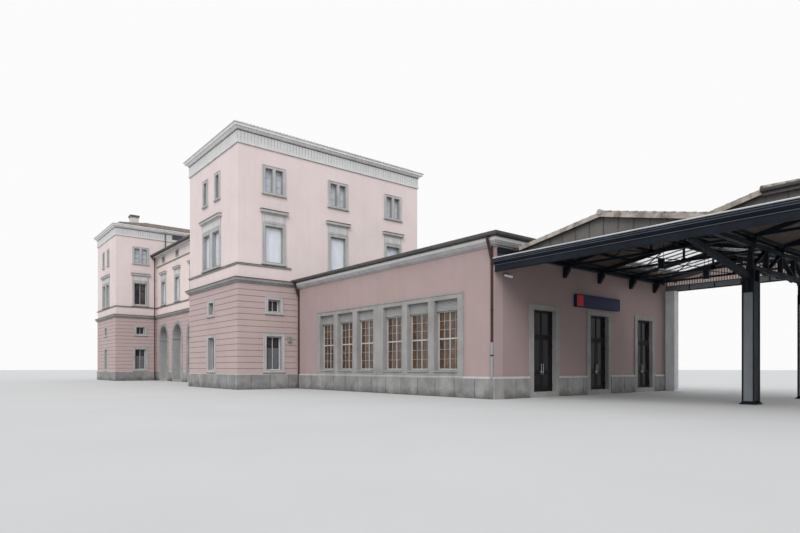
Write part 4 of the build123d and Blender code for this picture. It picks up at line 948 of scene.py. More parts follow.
def repeat_tree(shape, material):
    """A tree that puts one board, tile or rib on every incoming point."""
    tree = bpy.data.node_groups.new("repeat_" + shape, "GeometryNodeTree")
    for name, kind, way in (("Geometry", "Geometry", "INPUT"), ("Width", "Float", "INPUT"),
                            ("Thickness", "Float", "INPUT"), ("Seed", "Int", "INPUT"),
                            ("Geometry", "Geometry", "OUTPUT")):
        tree.interface.new_socket(name, in_out=way, socket_type="NodeSocket" + kind)
    given = tree.nodes.new("NodeGroupInput").outputs

    def round_bar(sides, radius, **place):
        """A round bar along X, whose radius is a share of the width."""
        upright = put(tree, "GeometryNodeMeshCylinder", Vertices=sides, Depth=1.0,
                      Radius=reckon(tree, "MULTIPLY", given["Width"], radius))
        return put(tree, "GeometryNodeTransform", Geometry=upright.outputs["Mesh"],
                   Rotation=(0, math.pi / 2, 0), **place).outputs[0]

    def read(name, kind):
        """A value that is stored on each point."""
        return put(tree, "GeometryNodeInputNamedAttribute", {"data_type": kind},
                   Name=name).outputs[0]

    if shape == "rib":
        made = round_bar(RIB_SIDES, 0.5)
    else:
        size = add(tree, "CombineXYZ", X=1.0, Y=given["Width"], Z=given["Thickness"])
        made = put(tree, "GeometryNodeMeshCube", Size=size.outputs[0]).outputs["Mesh"]
    if shape == "tile":
        aside = add(tree, "CombineXYZ", Z=given["Thickness"],
                    Y=reckon(tree, "MULTIPLY", given["Width"], ROLL_ASIDE))
        roll = round_bar(ROLL_SIDES, ROLL_RADIUS, Translation=aside.outputs[0])
        both = tree.nodes.new("GeometryNodeJoinGeometry")
        tree.links.new(made, both.inputs[0])
        tree.links.new(roll, both.inputs[0])
        made = both.outputs[0]
    turn = put(tree, "FunctionNodeAxesToRotation", {"primary_axis": "X", "secondary_axis": "Z"},
               _0=read("along", "FLOAT_VECTOR"), _1=read("facing", "FLOAT_VECTOR"))
    scale = add(tree, "CombineXYZ", X=read("length", "FLOAT"), Y=1.0, Z=1.0)
    copies = put(tree, "GeometryNodeInstanceOnPoints", Points=given["Geometry"], Instance=made,
                 Rotation=turn.outputs[0], Scale=scale.outputs[0])
    chance = put(tree, "FunctionNodeRandomValue", {"data_type": "FLOAT"}, Seed=given["Seed"])
    toned = put(tree, "GeometryNodeStoreNamedAttribute",
                {"data_type": "FLOAT", "domain": "INSTANCE"}, Geometry=copies.outputs[0],
                Name="tone", Value=chance.outputs[1])
    real = put(tree, "GeometryNodeRealizeInstances", Geometry=toned.outputs[0])
    finished = put(tree, "GeometryNodeSetMaterial", Geometry=real.outputs[0])
    finished.inputs["Material"].default_value = material
    put(tree, "NodeGroupOutput", _0=finished.outputs[0])
    return tree

# %% [markdown]
# To use the tree, a mesh of bare points gets the three attributes that the tree reads, and a
# modifier gets the sizes. A modifier's inputs are set by the identifiers of their sockets. The
# export can't follow a live tree, so the result is taken as a plain mesh and the modifier goes.

# %% Laying a shape on its places
def repeat(name, shape, places, width, thickness, material, slot, seed=1):
    """Lay a shape on every place: its middle, the way it runs, the way it faces, its length."""
    points = bpy.data.meshes.new(name)
    points.from_pydata([Vector(place[0]) * M for place in places], [], [])
    for key, column in (("along", 1), ("facing", 2)):
        store = points.attributes.new(key, "FLOAT_VECTOR", "POINT")
        for item, place in zip(store.data, places):
            item.vector = Vector(place[column]).normalized()
    store = points.attributes.new("length", "FLOAT", "POINT")
    for item, place in zip(store.data, places):
        item.value = place[3] * M
    made = stand(name, points)
    nodes = made.modifiers.new("repeat", "NODES")
    nodes.node_group = repeat_tree(shape, material)
    sizes = {"Width": width * M, "Thickness": thickness * M, "Seed": seed}
    for item in nodes.node_group.interface.items_tree:
        if item.in_out == "INPUT" and item.name in sizes:
            nodes[item.identifier] = sizes[item.name]
    graph = bpy.context.evaluated_depsgraph_get()
    plain = bpy.data.meshes.new_from_object(made.evaluated_get(graph),
                                            preserve_all_data_layers=True, depsgraph=graph)
    made.modifiers.remove(nodes)
    made.data = plain
    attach(made, "body")
    print(name, len(places), "copies", len(plain.polygons), "faces")
    return made

# %% [markdown]
# The frieze under the tower's cornice is faced with upright boards. They stand at even steps
# round all four sides, with a deep rail below them and, above them, a dark strip that is painted
# shadow where the cornice shades the boards. The imported frieze behind is painted dark as the
# shade in the gaps.

# %% Frieze boards
UP = (0, 0, 1)
BOARD_STEP = 0.22
BOARD_OUT = 0.048
BOARD_MIDDLE = 15.345


def along_face(face):
    """The way along a face and the way out of it."""
    start, end, out = face.at(0, 0, 0), face.at(1, 0, 0), face.at(0, 1, 0)
    return Vector(end) - Vector(start), Vector(out) - Vector(start)


def even_steps(start, end, count):
    """The middles of equal steps between two places."""
    return [start + (end - start) * (i + 0.5) / count for i in range(count)]


places = []
for face, windows, number in tower_faces:
    way, out = along_face(face)
    on_both = number <= 2
    start, end = (X_INNER - 0.04, X_OUTER + 0.04) if on_both else (Y_FRONT - 0.04, Y_BACK + 0.04)
    for run in even_steps(start, end, round((end - start) / BOARD_STEP)):
        for side in (-1, 1) if on_both else (1,):
            places.append((face.at(side * run, BOARD_OUT, BOARD_MIDDLE), UP, out, 0.60))
repeat("frieze_boards", "board", places, 0.197, 0.022, frieze_paint, "frieze_board")
moulded("frieze_rail", tower_rings, [[
    (0.02, 14.86), (0.07, 14.86), (0.08, 14.875), (0.08, 14.905), (0.068, 14.915),
    (0.068, 15.05), (0.02, 15.06)]], frieze_paint, "frieze_board", ring=True, bevel=0.004)
# A dark strip as painted shadow under the cornice.
moulded("frieze_head_painted_shadow", tower_rings, [[
    (0.02, 15.585), (0.068, 15.585), (0.068, 15.655), (0.02, 15.655)]],
    dark_gutter, "frieze_board", ring=True)

# %% [markdown]
# Several windows were shut behind slatted blinds on the day. A blind is a stack of thin slats,
# each tilted so that it sheds rain, and the stack hides the bars behind it. The ground windows
# are frosted in their lower part, and some upper panes look pale from a curtain behind them,
# so thin sheets in their own tones are laid on those panes.

# %% Slatted blinds and pale panes
SLAT_STEP = 0.065
SLAT_OUT = -0.175


def is_shut(window, face, number):
    """Whether a window's blind was down."""
    if window[0] in ("coupled", "centre"):
        return face.way > 0
    return window[0] == "first" and number == 5 and window[2][0] < 0


def is_pale(kind, number, start):
    """Whether a pane has a curtain behind it."""
    return (kind == "twin" and number in (4, 5)
            or kind == "first" and number == 5 and start > 0)


places = []
mesh, pale = bmesh.new(), bmesh.new()
for face, windows, number in main_faces:
    way, out = along_face(face)
    tilt = out * 0.92 + Vector(UP) * 0.4
    for window in windows:
        kind, lights = window[:2]
        for start, end, sill, head in lights:
            if is_shut(window, face, number):
                for i in range(int((head - sill - 0.04) / SLAT_STEP)):
                    spot = face.at((start + end) / 2, SLAT_OUT, sill + 0.05 + i * SLAT_STEP)
                    places.append((spot, way, tilt, end - start - 0.06))
            if kind == "ground":
                bar(mesh, face, (start + 0.10, end - 0.10), (-0.262, -0.252),
                    (sill + 0.10, sill + 1.40))
            elif is_pale(kind, number, start):
                bar(pale, face, (start + FRAME, end - FRAME), (-0.28, -0.262),
                    (sill + FRAME, head - FRAME))
repeat("window_blinds", "board", places, 0.072, 0.008, blind_paint, "white_joinery")
piece("frosted_panes", mesh, frosted_glass, "window_glass")
piece("pale_panes", pale, pale_glass, "window_glass")

# %% [markdown]
# Clay tiles lie in courses from the eaves up, each with its tail on the course below, so a tile
# tilts a little against the roof. A grid of places is laid over each roof plane, and a place is
# kept where its middle lies inside the plane's outline. Round tiles cover ridges and hips.

# %% Places for tiles
TILE_WIDE, TILE_LONG = 0.25, 0.34
TILE_LEAN, TILE_LIFT = 0.07, 0.035
TILE_OVERLAP = 1.16
RIDGE_STEP, RIDGE_OVERLAP = 0.38, 1.12


def inside(point, outline):
    """Whether a point in the plane lies inside an outline."""
    hit = False
    for (ax, ay), (bx, by) in zip(outline, outline[1:] + outline[:1]):
        if (ay > point[1]) != (by > point[1]):
            if point[0] < ax + (bx - ax) * (point[1] - ay) / (by - ay):
                hit = not hit
    return hit


def tiles_on(origin, run, rise, outline, holes=(), keep=None):
    """Places for tiles on a roof plane, whose outline is given along and up the slope."""
    run, rise = Vector(run).normalized(), Vector(rise).normalized()
    facing = run.cross(rise)
    if facing.z < 0:
        facing = -facing
    lean = (rise - facing * TILE_LEAN).normalized()
    face = lean.cross(run)
    if face.z < 0:
        face = -face
    places = []
    for row in range(int(max(p[1] for p in outline) / TILE_LONG) + 1):
        for column in range(int(max(p[0] for p in outline) / TILE_WIDE) + 1):
            u, v = (column + 0.5) * TILE_WIDE, (row + 0.45) * TILE_LONG
            if not inside((u, v), outline) or any(inside((u, v), hole) for hole in holes):
                continue
            spot = Vector(origin) + run * u + rise * v + facing * TILE_LIFT
            if keep is None or keep(spot):
                places.append((spot, lean, face, TILE_LONG * TILE_OVERLAP))
    return places


def ridge_tiles(start, end):
    """Places for round tiles along a ridge or a hip."""
    start, end = Vector(start), Vector(end)
    count = max(int((end - start).length / RIDGE_STEP), 1)
    return [(spot, end - start, UP, RIDGE_STEP * RIDGE_OVERLAP)
            for spot in even_steps(start, end, count)]


def sloped(angle):
    """The level part and the upright part of one metre up a slope."""
    return math.cos(math.radians(angle)), math.sin(math.radians(angle))


print("a tile covers", TILE_WIDE, "by", TILE_LONG)

# %% [markdown]
# The towers have low hipped roofs: two long slopes and two triangles, whose outlines follow
# from the span and the pitch. The strip along their eaves stays free of tiles, because it is
# sheet. The centre has a plain gable between the towers, so its slopes are rectangles.

# %% Roof tiles of the main block
EAVES = 15.98
SPAN = 4.55
SHEET_STRIP = 0.27
TOWER_PITCH, CENTRE_PITCH = 18, 16
TILE = (0.235, 0.022)
CENTRE_RIDGE = 14.76
CENTRE_SPAN = 5.6


def off_the_eaves(spot):
    """Whether a tile lies above the strip of sheet along the eaves."""
    return spot.z > EAVES + SHEET_STRIP


flat, steep = sloped(TOWER_PITCH)
slope_length = SPAN / flat
low_y, high_y = Y_FRONT - 0.35, Y_BACK + 0.35
long_side, short_side = high_y - low_y, 2 * SPAN
trapezoid = [(0, 0), (long_side, 0), (long_side - SPAN, slope_length), (SPAN, slope_length)]
triangle = [(0, 0), (short_side, 0), (SPAN, slope_length)]
top = EAVES + SPAN * steep / flat - 0.04
tiles, ridges = [], []
for middle in (-TOWER_MIDDLE, TOWER_MIDDLE):
    for way in (-1, 1):
        tiles += tiles_on((middle + way * SPAN, low_y, EAVES), (0, 1, 0),
                          (-way * flat, 0, steep), trapezoid, keep=off_the_eaves)
        tiles += tiles_on((middle - SPAN, low_y if way < 0 else high_y, EAVES), (1, 0, 0),
                          (0, -way * flat, steep), triangle, keep=off_the_eaves)
    for x in (middle - SPAN, middle + SPAN):
        for y, near_y in ((low_y, low_y + SPAN), (high_y, high_y - SPAN)):
            near = Vector((middle, near_y, top))
            ridges += ridge_tiles(Vector((x, y, EAVES + 0.02)).lerp(near, 0.18), near)
    ridges += ridge_tiles((middle, low_y + SPAN, top), (middle, high_y - SPAN, top))
repeat("tower_tiles", "tile", tiles, *TILE, roof_clay, "roof_cover", seed=3)
flat, steep = sloped(CENTRE_PITCH)
width = 2 * X_INNER
tiles = []
for way in (-1, 1):
    tiles += tiles_on((-X_INNER, way * CENTRE_SPAN, 13.155), (1, 0, 0), (0, -way * flat, steep),
                      [(0, 0), (width, 0), (width, CENTRE_SPAN / flat), (0, CENTRE_SPAN / flat)])
repeat("centre_tiles", "tile", tiles, *TILE, roof_clay, "roof_cover", seed=4)
ridges += ridge_tiles((-X_INNER, 0, CENTRE_RIDGE), (X_INNER, 0, CENTRE_RIDGE))
repeat("ridge_tiles", "rib", ridges, 0.24, 0.02, roof_clay, "roof_cover", seed=5)

# %% [markdown]
# The chimney is rendered like the walls. It is flashed with sheet where it leaves the roof, and
# a small corbelled course carries its cap. A dark band round the head under the cap's sheet is
# painted shade, where the real cap stands open between its legs.

# %% Chimney head
CHIMNEY_X, CHIMNEY_Y = -16.15, -6.10
CHIMNEY_HALF = 0.40
chimney_ring = [(CHIMNEY_X + a * CHIMNEY_HALF, CHIMNEY_Y + b * CHIMNEY_HALF)
                for a, b in ((1, 1), (1, -1), (-1, -1), (-1, 1))]
moulded("chimney_corbel", [chimney_ring], [[
    (-0.02, 18.04), (0.01, 18.04), (0.03, 18.06), (0.03, 18.098), (-0.02, 18.098)]],
    chimney_render, "chimney_masonry", ring=True)
# The band from 18.098 to 18.302 is painted shade; the other two sheets are flashing and the cap.
moulded("chimney_sheets_and_painted_shade", [chimney_ring], [
    [(0.04, 18.098), (0.066, 18.098), (0.066, 18.302), (0.04, 18.302)],
    [(-0.02, 16.8), (0.012, 16.8), (0.012, 17.42), (-0.02, 17.42)],
    [(-0.30, 18.302), (0.075, 18.302), (0.08, 18.27), (0.09, 18.27), (0.085, 18.33),
     (-0.30, 18.345)]], dark_gutter, "brown_metal", ring=True)

# %% [markdown]
# The annex is a low hall lit by one long band of windows on each long side. Its stone frame and
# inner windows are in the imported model, so here come the outer windows near the face of the
# wall with their glazing bars, the sloping sills, and the slats on the shutter boxes.

# %% Annex windows
Y_ANNEX = -5.1
BAND_STARTS = (22.39, 24.34, 26.29, 28.69, 30.64, 32.59)
LIGHT_WIDTH = 1.53
BAND_SILL = 1.22
BAND_HEAD = 3.92
TRANSOM = (2.615, 2.685)
FINE_BAR = 0.007
annex_faces = [Face("x", Y_ANNEX, 1), Face("x", Y_ANNEX_BACK, -1)]
mesh, panes, sills = bmesh.new(), bmesh.new(), bmesh.new()
places = []
for face in annex_faces:
    way, out = along_face(face)
    for start in BAND_STARTS:
        end = start + LIGHT_WIDTH
        middle = (start + end) / 2
        surround(mesh, face, (start, end, BAND_SILL, BAND_HEAD),
                 [(-0.055, -0.27), (-0.055, -0.22), (-0.045, -0.21), (-0.002, -0.21),
                  (-0.002, -0.27)])
        bar(panes, face, (start + 0.04, end - 0.04), (-0.255, -0.245), (1.25, 3.90))
        bar(mesh, face, (middle - 0.025, middle + 0.025), (-0.265, -0.22), (1.25, 3.89))
        bar(mesh, face, (start + 0.05, end - 0.05), (-0.265, -0.215), TRANSOM)
        for low, high in ((1.27, TRANSOM[0]), (TRANSOM[1], 3.87)):
            for level in (low + (high - low) / 3, low + (high - low) * 2 / 3):
                bar(mesh, face, (start + 0.05, end - 0.05), (-0.26, -0.228),
                    (level - 0.008, level + 0.008))
            for place in (start + 0.40, end - 0.40):
                bar(mesh, face, (place - FINE_BAR, place + FINE_BAR), (-0.26, -0.226),
                    (low, high))
        strip(sills, face, (start, end), [(-0.30, 1.19), (-0.30, 1.245), (0.095, 1.165),
                                          (0.12, 1.15), (0.12, 1.11), (0.05, 1.09)])
        for i in range(8):
            places.append((face.at(middle, -0.112, 3.955 + i * 0.06), way,
                           out * 0.93 + Vector(UP) * 0.36, LIGHT_WIDTH - 0.02))
piece("annex_outer_sashes", mesh, grey_joinery, "white_joinery", bevel=0.004)
piece("annex_outer_panes", panes, annex_glass, "window_glass")
piece("annex_sills", sills, trim, "trim_stone", bevel=0.006)
repeat("shutter_slats", "board", places, 0.064, 0.012, shutter_paint, "shutter_metal")
mesh = bmesh.new()
for face in annex_faces:
    surround(mesh, face, (22.05, 34.46, 0.85, 4.66),
             [(-0.055, 0.058), (-0.05, 0.085), (-0.01, 0.09), (0, 0.08), (0.004, 0), (-0.055, 0)])
    for start in BAND_STARTS:
        surround(mesh, face, (start, start + LIGHT_WIDTH, 1.21, 4.41),
                 [(0.002, 0.058), (0.004, 0.072), (0.03, 0.072), (0.034, 0.058)])
piece("annex_band_mouldings", mesh, trim, "trim_stone")

# %% [markdown]
# A pale chamfered capping finishes the plinths. It is the line that the eye follows round the
# foot of the building, so it is run as a moulding like the cornices. It stops at the arches
# and at the doors, which one helper does for any row of openings.

# %% Plinth cappings
MAIN_CAP = [(0, 0.895), (0.085, 0.895), (0.085, 0.91), (0.05, 0.94), (0, 0.95)]
ANNEX_CAP = [(0, 0.845), (0.09, 0.845), (0.09, 0.86), (0.06, 0.93), (0, 0.94)]
DOORS = (-1.80, 2.62, 7.09)
end_face = Face("y", X_END, 1)


def between(mesh, face, first, last, middles, half, section):
    """A strip along a face that stops at every opening."""
    edges = [first] + [m + side * half for m in middles for side in (-1, 1)] + [last]
    for start, end in zip(edges[::2], edges[1::2]):
        strip(mesh, face, (start, end), section)


mesh = bmesh.new()
for side in (1, -1):
    for part in ([(X_OUTER, Y_ANNEX if side > 0 else Y_BACK), (X_OUTER, Y_FRONT),
                  (X_INNER, Y_FRONT), (X_INNER, Y_CENTRE)],
                 [(X_INNER, Y_BACK), (X_OUTER, Y_BACK)]):
        moulding(mesh, [(side * x, y) for x, y in part[::side]], MAIN_CAP)
for face, windows, number in centre_faces:
    between(mesh, face, -X_INNER, X_INNER, ARCHES, ARCH_RADIUS + ARCH_STONE, MAIN_CAP)
for face in annex_faces:
    strip(mesh, face, (X_OUTER + 0.36, X_END), ANNEX_CAP)
between(mesh, end_face, Y_ANNEX - 0.085, Y_ANNEX_BACK + 0.085, DOORS, 1.06, ANNEX_CAP)
piece("plinth_cappings", mesh, upper_stone, "trim_stone")

# %% [markdown]
# Rain leaves the annex over a white board into a half-round gutter that runs round the three
# free sides. A half-round gutter is thin sheet, so its section has an outer and an inner curve
# and a rolled rim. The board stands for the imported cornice, and a stone moulding carries it.

# %% Annex eaves
SHEET = 0.014
ROUND_PARTS = 8
STRAP_STEP, STRAP_OUT = 0.8, 0.35
STRAPS = ((6.745, 0.20), (6.885, 0.22))


def gutter_section(middle, level, radius):
    """The section of a half-round gutter with a rolled front rim."""
    turns = [math.pi + math.pi * i / ROUND_PARTS for i in range(ROUND_PARTS + 1)]
    outside, inside_arc = [[(middle + r * math.cos(t), level + r * math.sin(t)) for t in turns]
                           for r in (radius, radius - SHEET)]
    lip = middle + radius
    roll = [(lip + 0.012, level + 0.01), (lip + 0.012, level + 0.04),
            (lip - 0.02, level + 0.04), (lip - 0.02, level + 0.012)]
    return outside + roll + inside_arc[::-1]


annex_path = [(X_OUTER, Y_ANNEX_BACK), (X_END, Y_ANNEX_BACK), (X_END, Y_ANNEX),
              (X_OUTER, Y_ANNEX)]
moulded("annex_eaves_moulding", [annex_path], [[
    (-0.5, 6.36), (0.045, 6.36), (0.05, 6.40), (0.10, 6.41), (0.15, 6.45), (0.165, 6.50),
    (0.20, 6.51), (0.20, 6.56), (-0.5, 6.56)]], upper_stone, "trim_stone")
moulded("annex_eaves_board", [annex_path], [[
    (-0.5, 6.562), (0.23, 6.562), (0.232, 6.58), (0.25, 6.585), (0.25, 6.705),
    (-0.5, 6.705)]], frieze_paint, "frieze_board", replaces=("annex_cornice",))
moulded("annex_half_round_gutter", [annex_path], [
    gutter_section(0.345, 6.85, 0.10),
    [(0.10, 6.722), (0.252, 6.708), (0.258, 6.708), (0.258, 6.86), (0.10, 6.89)]],
    dark_gutter, "brown_metal", replaces=("annex_gutter",))
places = []
for face, start, end in ((annex_faces[0], X_OUTER, X_END), (annex_faces[1], X_OUTER, X_END),
                         (end_face, Y_ANNEX, Y_ANNEX_BACK)):
    way, out = along_face(face)
    for run in even_steps(start, end, int((end - start) / STRAP_STEP)):
        for level, length in STRAPS:
            places.append((face.at(run, STRAP_OUT, level), out, UP, length))
repeat("annex_gutter_straps", "board", places, 0.03, 0.012, dark_gutter, "brown_metal")

# %% [markdown]
# The annex roof is nearly flat, so it is laid in sheet metal with standing seams, which stay
# tight where tiles would leak. The seams run up each slope and end at the hip or the ridge.

# %% Seams of the annex roof
ANNEX_PITCH = 5
SEAM_STEP = 0.6
SEAM_FOOT, CAP_FOOT = 6.725, 6.73
CAP_RADIUS = 0.05
OVERHANG = 0.25
rise = math.tan(math.radians(ANNEX_PITCH))
flat, steep = sloped(ANNEX_PITCH)
low, high, right = Y_ANNEX - OVERHANG, Y_ANNEX_BACK + OVERHANG, X_END + OVERHANG
middle = (low + high) / 2
half = (high - low) / 2


def seam(x, y, way, reach):
    """The place of one seam from its middle, its way in plan and its reach."""
    return ((x, y, SEAM_FOOT + rise * reach / 2), (way[0] * flat, way[1] * flat, steep), UP,
            reach / flat)


places = []
for i in range(int((right - X_OUTER) / SEAM_STEP)):
    x = X_OUTER + (i + 0.5) * SEAM_STEP
    reach = min(half, right - x)
    for way in (-1, 1):
        places.append(seam(x, middle - way * half + way * reach / 2, (0, way), reach))
for i in range(int((high - low) / SEAM_STEP)):
    y = low + (i + 0.5) * SEAM_STEP
    reach = min(y - low, high - y)
    places.append(seam(right - reach / 2, y, (-1, 0), reach))
repeat("annex_roof_seams", "board", places, 0.022, 0.05, dark_gutter, "roof_cover")
mesh = bmesh.new()
top = CAP_FOOT + rise * half
summit = (right - half, middle, top)
for line in (((right, low, CAP_FOOT), summit), ((right, high, CAP_FOOT), summit),
             (summit, (X_OUTER, middle, top))):
    rod(mesh, line, CAP_RADIUS)
piece("annex_roof_caps", mesh, dark_gutter, "roof_cover")

# %% [markdown]
# The centre has a gutter too, and four downpipes carry the water down. A pipe starts under the
# gutter with a swan neck, then runs straight with a sleeve at each joint and a clip at each
# fixing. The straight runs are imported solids, so the necks, sleeves and clips are added.

# %% Gutters of the centre, swan necks and sleeves
PIPE_RADIUS, SLEEVE_RADIUS, FUNNEL_RADIUS = 0.062, 0.068, 0.085
ZINC_RADIUS, ZINC_SLEEVE = 0.064, 0.074
SLEEVE_STEP = 1.9
SLEEVE = 0.07
NECK_OUT = -0.29
LOW_DROP, HIGH_DROP = 0.62, 0.45
LOW_CLIP, HIGH_CLIP = 0.06, 0.34
CORNER_PIPE = (36.14, -5.155)
LOW_PIPES = ((*CORNER_PIPE, 0.85), (19.755, -5.155, 0))
HIGH_PIPES = ((-10.745, -5.405, 0), (10.745, -5.405, 0))
mesh, soffits = bmesh.new(), bmesh.new()
for face, windows, number in centre_faces:
    run = (-X_INNER, X_INNER)
    strip(mesh, face, run, gutter_section(0.60, 13.11, 0.10))
    strip(mesh, face, run, [(0.49, 12.96), (0.51, 12.96), (0.51, 13.17), (0.40, 13.20),
                            (0.40, 13.18), (0.49, 13.15)])
    bar(soffits, face, run, (0.0, 0.485), (12.915, 12.945))
    strip(soffits, face, run, [(0, 12.78), (0.03, 12.78), (0.045, 12.84), (0.10, 12.90),
                               (0.10, 12.92), (0, 12.92)])
piece("centre_soffits", soffits, frieze_paint, "frieze_board")
piece("centre_half_round_gutters", mesh, dark_gutter, "brown_metal",
      replaces=("centre_gutters",))
mesh, zinc = bmesh.new(), bmesh.new()
for pipes, neck, end, clip in ((LOW_PIPES, 6.75, 6.36 - LOW_DROP, LOW_CLIP),
                               (HIGH_PIPES, 13.02, 12.95 - HIGH_DROP, HIGH_CLIP)):
    for x, y, foot in pipes:
        rod(mesh, [(x, y + NECK_OUT * share, level) for share, level in (
            (1, neck), (1, neck - 0.10), (0.9, neck - 0.18), (0.15, end + 0.18),
            (0, end + 0.08), (0, end))], PIPE_RADIUS)
        rod(mesh, [(x, y + NECK_OUT, neck + rise) for rise in (-0.02, 0.06)], FUNNEL_RADIUS)
        level = end - 0.15
        while level > foot + 0.4:
            rod(mesh, [(x, y, level), (x, y, level + SLEEVE)], SLEEVE_RADIUS)
            beam(mesh, (x, y, level + SLEEVE / 2), (x, y + clip, level + SLEEVE / 2), 0.03, 0.02)
            level -= SLEEVE_STEP
rod(zinc, [(*CORNER_PIPE, 0.86), (*CORNER_PIPE, 2.32)], ZINC_RADIUS)
rod(zinc, [(*CORNER_PIPE, 2.30), (*CORNER_PIPE, 2.37)], ZINC_SLEEVE)
piece("downpipe_necks", mesh, brown_paint, "brown_metal")
piece("galvanised_foot_pipe", zinc, galvanised, "brown_metal")

# %% [markdown]
# Small fittings give the walls their scale: a sheet-metal box, and louvres with a vent pipe.
# Each is built from a few parts at the place where it hangs.

# %% Small fittings on the walls
LOUVRES = 6
LOUVRE_STEP = 0.065
mesh = bmesh.new()
side_face = tower_faces[4][0]
bar(mesh, side_face, (-5.80, -5.58), (0.0, 0.16), (2.94, 3.26))
strip(mesh, side_face, (-5.82, -5.56), [(0, 3.25), (0.19, 3.25), (0.19, 3.265), (0, 3.31)])
piece("meter_box", mesh, galvanised, "cornice_metal", bevel=0.008)
mesh = bmesh.new()
louvre_face = tower_faces[3][0]
surround(mesh, louvre_face, (-3.53, -2.46, 15.15, 15.60),
         [(-0.03, 0.05), (-0.03, 0.085), (0.01, 0.085), (0.01, 0.05)])
for level in [15.19 + i * LOUVRE_STEP for i in range(LOUVRES)]:
    strip(mesh, louvre_face, (-3.51, -2.48), [(0.055, level + 0.05), (0.062, level + 0.055),
                                              (0.085, level + 0.008), (0.078, level)])
rod(mesh, [(-10.95, -4.26, 15.66), (-10.95, -4.26, 13.9), (-10.95, -4.45, 13.6)], 0.05)
piece("frieze_louvre", mesh, pale_navy_and_highlight, "brown_metal")

# %% [markdown]
# The canopy has two bays, each with a low gable roof of tiles and a long rooflight. The last bay
# is hipped at the front, so its tiles stop where the hip plane is lower. Its places are the same
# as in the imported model: the foot, the ridge and the valley of each bay.

# %% Canopy tiles
ROOF_FRONT_Y, ROOF_BACK_Y = -4.05, 9.70
FOOT, RIDGE_1, VALLEY = (36.70, 6.36), (40.453, 7.01), (44.15, 6.17)
RIDGE_2, EDGE = (48.353, 7.19), (52.05, 6.17)
SLOPES = ((FOOT, RIDGE_1), (VALLEY, RIDGE_1), (VALLEY, RIDGE_2), (EDGE, RIDGE_2))
GLASS_Y = (2.8, 9.0)
GLASS_INSET = 0.45
GLASS_BARS = 10
HIP_LEVEL, HIP_RISE = 6.56, 0.24
HIP_TOP_Y = -1.43
HIP_CORNERS = (45.757, 50.64)
PURLINS = ((0.03, 9.6), (0.34, 2.75), (0.66, 2.75), (0.95, 9.6))
PURLIN_FRONT_Y = -3.75


def hip_level(y):
    """The level of the hip plane over the front of the last bay."""
    return HIP_LEVEL + HIP_RISE * (y - ROOF_FRONT_Y)


def under_the_hip(spot):
    """Whether a tile of the last bay lies below the hip plane."""
    return spot.z < hip_level(spot.y) + 0.05


tiles, glazing, purlins = [], [], []
depth = ROOF_BACK_Y - ROOF_FRONT_Y
for number, (low, ridge) in enumerate(SLOPES):
    run_x, run_z = ridge[0] - low[0], ridge[1] - low[1]
    length = math.hypot(run_x, run_z)
    share = length / abs(run_x)
    side = 1 if run_x > 0 else -1
    near, far = [y - ROOF_FRONT_Y + grow for y, grow in zip(GLASS_Y, (-0.1, 0.1))]
    foot, top = GLASS_INSET * share, length - GLASS_INSET * share
    tiles += tiles_on((low[0], ROOF_FRONT_Y, low[1] + 0.012), (0, 1, 0), (run_x, 0, run_z),
                      [(0, 0), (depth, 0), (depth, length), (0, length)],
                      holes=([(near, foot), (far, foot), (far, top), (near, top)],),
                      keep=under_the_hip if number > 1 else None)
    start, end = low[0] + side * GLASS_INSET, ridge[0] - side * GLASS_INSET
    level = low[1] + run_z * abs((start + end) / 2 - low[0]) / abs(run_x)
    for i in range(GLASS_BARS + 1):
        y = GLASS_Y[0] + (GLASS_Y[1] - GLASS_Y[0]) * i / GLASS_BARS
        glazing.append((((start + end) / 2, y, level - 0.015), (run_x, 0, run_z), UP,
                        abs(end - start) * share + 0.06))
    for part, back_y in PURLINS:
        x, z = low[0] + run_x * part, low[1] + run_z * part
        front_y = PURLIN_FRONT_Y
        if number > 1:
            front_y = max(front_y, ROOF_FRONT_Y + 0.3 + (z - HIP_LEVEL) / HIP_RISE)
        purlins.append(((x, (front_y + back_y) / 2, z - 0.17), (0, 1, 0), UP,
                        back_y - front_y))
tiles += tiles_on((VALLEY[0], ROOF_FRONT_Y, HIP_LEVEL + 0.012), (1, 0, 0), (0, 1, HIP_RISE),
                  [(1.607, 0), (6.49, 0), (4.203, 2.70)])
repeat("canopy_tiles", "tile", tiles, *TILE, old_clay, "roof_cover", seed=6)
hip_top = (RIDGE_2[0], HIP_TOP_Y, 7.23)
ridges = ridge_tiles((RIDGE_1[0], ROOF_FRONT_Y - 0.06, 7.05), (RIDGE_1[0], ROOF_BACK_Y, 7.05))
ridges += ridge_tiles(hip_top, (RIDGE_2[0], ROOF_BACK_Y, 7.23))
for x in HIP_CORNERS:
    ridges += ridge_tiles((x, ROOF_FRONT_Y, 6.60), hip_top)
repeat("canopy_ridge_tiles", "rib", ridges, 0.22, 0.02, old_clay, "roof_cover", seed=7)
repeat("rooflight_bars", "board", glazing, 0.07, 0.06, pale_navy_and_highlight, "canopy_steel")
repeat("canopy_purlins", "board", purlins, 0.07, 0.11, navy_paint, "canopy_steel")

# %% [markdown]
# The front edge of a tiled roof is closed by verge tiles, which turn down over the last rafter.
# They read as a thick mottled band along the gable, with a half-round cap at the top. Under the
# level edge of the hip runs a short gutter instead.

